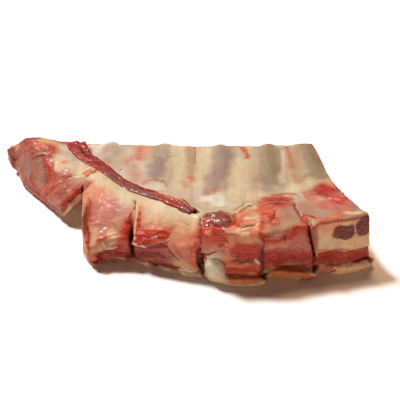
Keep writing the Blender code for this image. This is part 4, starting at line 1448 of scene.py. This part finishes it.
def makeRibs(sizes):
    inputs = {
        "Half Width": sizes["halfWidth"] * mm,
        "Half Thickness": sizes["halfThickness"] * mm,
        "Steps": sizes["steps"],
    }
    tree = ribTree(inputs, sizes, boneFinish(sizes))
    for name in ribNames:
        title = name.replace("rib_", "ribBone_")
        bone = grown(title, pathMesh(title, ribPath(name, sizes)), tree, inputs)
        bm = bmesh.new()
        bm.from_mesh(bone.data)
        bmesh.ops.remove_doubles(bm, verts=bm.verts, dist=0.01 * mm)
        caps = [face for face in bm.faces if len(face.verts) > 4]
        for thickness, depth in ((sizes["shell"], 0.0), (sizes["marrowRim"], -sizes["marrowDepth"])):
            bmesh.ops.inset_individual(bm, faces=caps, thickness=thickness * mm, depth=depth * mm)
        bmesh.ops.recalc_face_normals(bm, faces=bm.faces)
        layer = bm.verts.layers.float.new("marrow")
        for face in caps:
            for vertex in face.verts:
                vertex[layer] = 1.0
        bmesh.ops.triangulate(bm, faces=caps)
        bm.to_mesh(bone.data)
        bm.free()
        bone.data.shade_smooth()
        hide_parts(name)
        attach(bone, "root")


makeRibs(ribSizes)
print("ribs are done")

# skirt: a cord of muscle bundles across the membrane
skirtSizes = {
    "slices": 22,  # along the CAD cord, for its route
    "steps": 150,
    "sides": 10,
    "strands": 16,
    "strandRadius": 1.15,
    "crest": 1.9,  # how far the strands go to the upper side of the route
    "flank": 5.4,  # and to the lower side
    "height": 1.35,  # of the crest over the membrane
    "flare": 0.45,  # how much wider and thicker it starts, at the rib edge
    "endShare": 0.7,
    "wander": 3.0,  # of a strand, sideways
    "waves": 1.0,  # up and down
    "drop": 25,  # from where the strands are cast down onto the meat
    "voxel": 0.45,
    "rounds": 9,  # of smoothing
    "lumps": ((2.2, 12, 0.2),),
}
skirtWashes = [
    ("maroon", 4, 0.7, (72, 142), (80, 142), (87, 148)),
    ("maroon", 2.5, 0.7, (84, 152), (92, 157), (101, 161)),
    ("crimson", 2.2, 0.9, (98, 157), (106, 163), (116, 170)),
    ("mauve", 4, 0.9, (108, 173), (120, 184), (136, 192)),
    ("plum", 3, 0.9, (112, 178), (124, 188), (136, 194)),
    ("plum", 3, 0.95, (140, 194), (156, 198)),
    ("rust", 2.0, 0.6, (156, 191), (172, 197), (184, 203), (196, 210)),
    ("ribMauve", 2.0, 0.5, (142, 191), (152, 194), (162, 198)),
    ("plum", 2.4, 0.95, (182, 209), (198, 218)),
]
skirtStrokes = [
    ("lean", 1.2, 0.2, (74, 142), (82, 144), (87, 150)),
    ("mauve", 0.8, 0.2, (78, 144), (83, 150)),
    ("dark", 0.9, 0.0, (80, 148), (88, 155), (98, 160)),
    ("dark", 0.8, 0.2, (84, 148), (96, 156), (106, 162)),
    ("lean", 0.7, 0.2, (92, 156), (100, 160), (110, 167), (124, 178)),
    ("dark", 0.5, 0.1, (106, 161), (118, 170), (130, 180), (142, 187)),
    ("dark", 0.9, -0.2, (110, 168), (124, 178), (138, 187), (152, 192)),
    ("pink", 0.6, 0.2, (118, 180), (130, 188)),
    ("orange", 0.5, 0.2, (160, 192), (172, 196), (182, 200), (192, 207)),
    ("lean", 0.8, 0.1, (160, 196), (175, 201), (186, 207)),
    ("dark", 0.6, -0.2, (176, 200), (186, 205), (197, 214)),
    ("dark", 0.5, 0.0, (184, 201), (196, 209)),
    # painted glint at the foot of the flank
    ("white", 0.35, 0.2, (124, 188), (128, 190)),
]


def skirtRoute():  # middle of the CAD cord, read in slices along it
    places = nodePlaces("skirt")
    along = places[:, 0] - places[:, 1]
    edges = np.linspace(along.min(), along.max(), skirtSizes["slices"] + 1)
    return [places[(along >= a) & (along <= b)].mean(0) for a, b in zip(edges, edges[1:])]


def skirtTree(inputs, sizes, material):
    graph, wires = newTree("skirtStrands", inputs)
    path = graph.add("GeometryNodeMeshToCurve", {}, {"Mesh": wires["Geometry"]})
    path = graph.add("GeometryNodeCurveSplineType", {"spline_type": "CATMULL_ROM"}, {"Curve": path})
    path = graph.add("GeometryNodeResampleCurve", {}, {"Curve": path, "Count": sizes["steps"]})
    copies = graph.add(
        "GeometryNodeDuplicateElements",
        {"domain": "SPLINE"},
        {"Geometry": path, "Amount": wires["Strands"]},
    )
    number = copies.beside("Duplicate Index")
    across = number / (wires["Strands"] - 1)  # 0 at the crest, 1 at the foot of the flank
    along = graph.add("GeometryNodeSplineParameter", output="Factor")
    tangent = graph.add("GeometryNodeInputTangent")
    aside = graph.vector("CROSS_PRODUCT", (0.0, 0.0, 1.0), tangent)
    aside = graph.add("ShaderNodeVectorMath", {"operation": "NORMALIZE"}, {0: aside})
    flare = (1 - along.step(0.0, 0.2)) * wires["Flare"]
    width = 1 - along.step(0.7, 1.0) * (1 - wires["End Share"]) + flare
    wander = graph.add(
        "ShaderNodeTexNoise", {"noise_dimensions": "4D"}, {"W": number * 3.7, "Scale": 80.0, "Detail": 2.0}
    )
    shift = (wires["Crest"] - across * (wires["Crest"] + wires["Flank"])) * width
    shift = shift + (wander - 0.5) * sizes["wander"] * mm
    moved = graph.add("ShaderNodeVectorMath", {"operation": "SCALE"}, {0: aside, "Scale": shift})
    strands = graph.add("GeometryNodeSetPosition", {}, {"Geometry": copies, "Offset": moved})
    # down onto the body's skin
    body = graph.add("GeometryNodeObjectInfo", {}, {"Object": meatBody}, output="Geometry")
    place = graph.add("GeometryNodeInputPosition")
    above = graph.vector("ADD", place, (0.0, 0.0, sizes["drop"] * mm))
    landed = graph.add(
        "GeometryNodeRaycast",
        {},
        {"Target Geometry": body, "Source Position": above, "Ray Direction": (0, 0, -1)},
        output="Hit Position",
    )
    rise = (1 - across * across) * wires["Height"] + (wander - 0.5) * sizes["waves"] * mm
    resting = graph.vector("ADD", landed, graph.add("ShaderNodeCombineXYZ", {}, {"Z": rise}))
    strands = graph.add(
        "GeometryNodeSetPosition",
        {},
        {"Geometry": strands, "Selection": landed.beside("Is Hit"), "Position": resting},
    )
    uneven = graph.add("ShaderNodeTexNoise", {"noise_dimensions": "4D"}, {"W": number, "Scale": 110.0})
    thick = uneven * 0.9 + 0.55 + flare
    strands = graph.add("GeometryNodeSetCurveRadius", {}, {"Curve": strands, "Radius": thick})
    strands = tube(graph, strands, ringOf(graph, sizes["sides"], wires["Strand Radius"]))
    return closeTree(graph, strands, material)


def makeSkirt(sizes):
    inputs = {
        "Strands": sizes["strands"],
        "Strand Radius": sizes["strandRadius"] * mm,
        "Crest": sizes["crest"] * mm,
        "Flank": sizes["flank"] * mm,
        "Height": sizes["height"] * mm,
        "Flare": sizes["flare"],
        "End Share": sizes["endShare"],
    }
    finish = fleshFinish("skirtMuscle")
    tree = skirtTree(inputs, sizes, finish)
    cord = grown("skirtCord", pathMesh("skirtCord", skirtRoute()), tree, inputs)
    skin = Skin(fused(cord, sizes["voxel"], finish))
    skin.relax(0.5, sizes["rounds"])
    skin.cover("crimson")
    skin.lay(skirtWashes, strokes=skirtStrokes)
    skin.cover("maroon", 0.25)
    skin.fields["wet"] += 0.1
    skin.push += lumpsOf(skin.places, sizes["lumps"])
    return skin.finish()


skirtCord = makeSkirt(skirtSizes)
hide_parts("skirt")
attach(skirtCord, "root")
print("skirt is done")

# the wet scrap of skirt on the fourth block
scrapSizes = {
    "voxel": 0.5,
    "growth": 0.25,
    "ragged": 2.4,  # how far the outline wanders
    "brim": 1.4,  # how far the outer part sinks
    "sunk": 4.0,  # how much of the CAD solid lies in the meat
    "flat": 0.5,  # share of the CAD solid's rise over the meat that is kept
    "rounds": 14,  # of smoothing
    "folds": (((5.0, 3.0, 5.0), 13, 0.4), (1.7, 14, 0.12)),
}
scrapWashes = [
    ("mauve", 4, 0.8, (212, 217), (222, 220)),
    ("roseFilm", 2.5, 0.35, (210, 218), (219, 221), (226, 221)),
    ("rust", 2.0, 0.6, (202, 216), (205, 222)),
    ("rust", 2.0, 0.8, (232, 213), (236, 218), (236, 225)),
    ("crimson", 2.0, 0.6, (208, 225), (224, 228)),
]
scrapStrokes = [
    ("lean", 1.4, 0.2, (202, 218), (208, 223)),
    ("orange", 0.8, 0.1, (231, 213), (236, 220)),
    ("lean", 0.8, 0.2, (222, 211), (229, 215)),
    ("lean", 1.2, 0.1, (230, 221), (235, 226)),
    # painted glints of wet shine on the scrap
    ("white", 0.4, 0.4, (214, 212), (217, 212.5)),
    ("white", 0.6, 0.4, (216, 221), (220, 219)),
    ("white", 0.5, 0.4, (222, 225), (227, 227), (231, 227)),
    ("mauve", 1.0, -0.2, (212, 215), (220, 215), (226, 220)),
]


def makeScrap(sizes):
    finish = fleshFinish("scrapMuscle")
    skin = Skin(evenSkin("skirtScrap", {"skirt_stub": sizes["growth"]}, sizes["voxel"], finish))
    skin.relax(0.5, sizes["rounds"])
    middle = (skin.places.max(0) + skin.places.min(0)) / 2
    reach = (skin.places.max(0) - skin.places.min(0)) / 2
    out = np.hypot(*((skin.places - middle) / reach).T[:2]) + fieldNoise(skin.places, 5.0, 18) * 0.2
    aside = fieldNoise(skin.places * (1, 1, 0.2), 4.0, 16)[:, None] * skin.normals * (1, 1, 0)
    skin.places += aside * sizes["ragged"]
    height = skin.places[:, 2]
    low = height.min() + sizes["sunk"]
    height[:] = low + (height - low) * np.where(height > low, sizes["flat"], 1.0)
    height -= smooth((out - 0.45) / 0.5) * sizes["brim"]
    skin.write()
    skin.readNormals()
    skin.cover("maroon")
    skin.cover("mauve", smooth(fieldNoise(skin.places, 3.4, 15) * 2 + 0.3) * 0.7)
    skin.lay(scrapWashes, strokes=scrapStrokes)
    above = smooth((skin.normals[:, 2] - 0.1) / 0.5)
    skin.push += (lumpsOf(skin.places, sizes["folds"]) - 0.1) * above
    skin.fields["wet"] += 0.8
    return skin.finish()


skirtScrap = makeScrap(scrapSizes)
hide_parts("skirt_stub")
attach(skirtScrap, "root")
print("scrap is done")
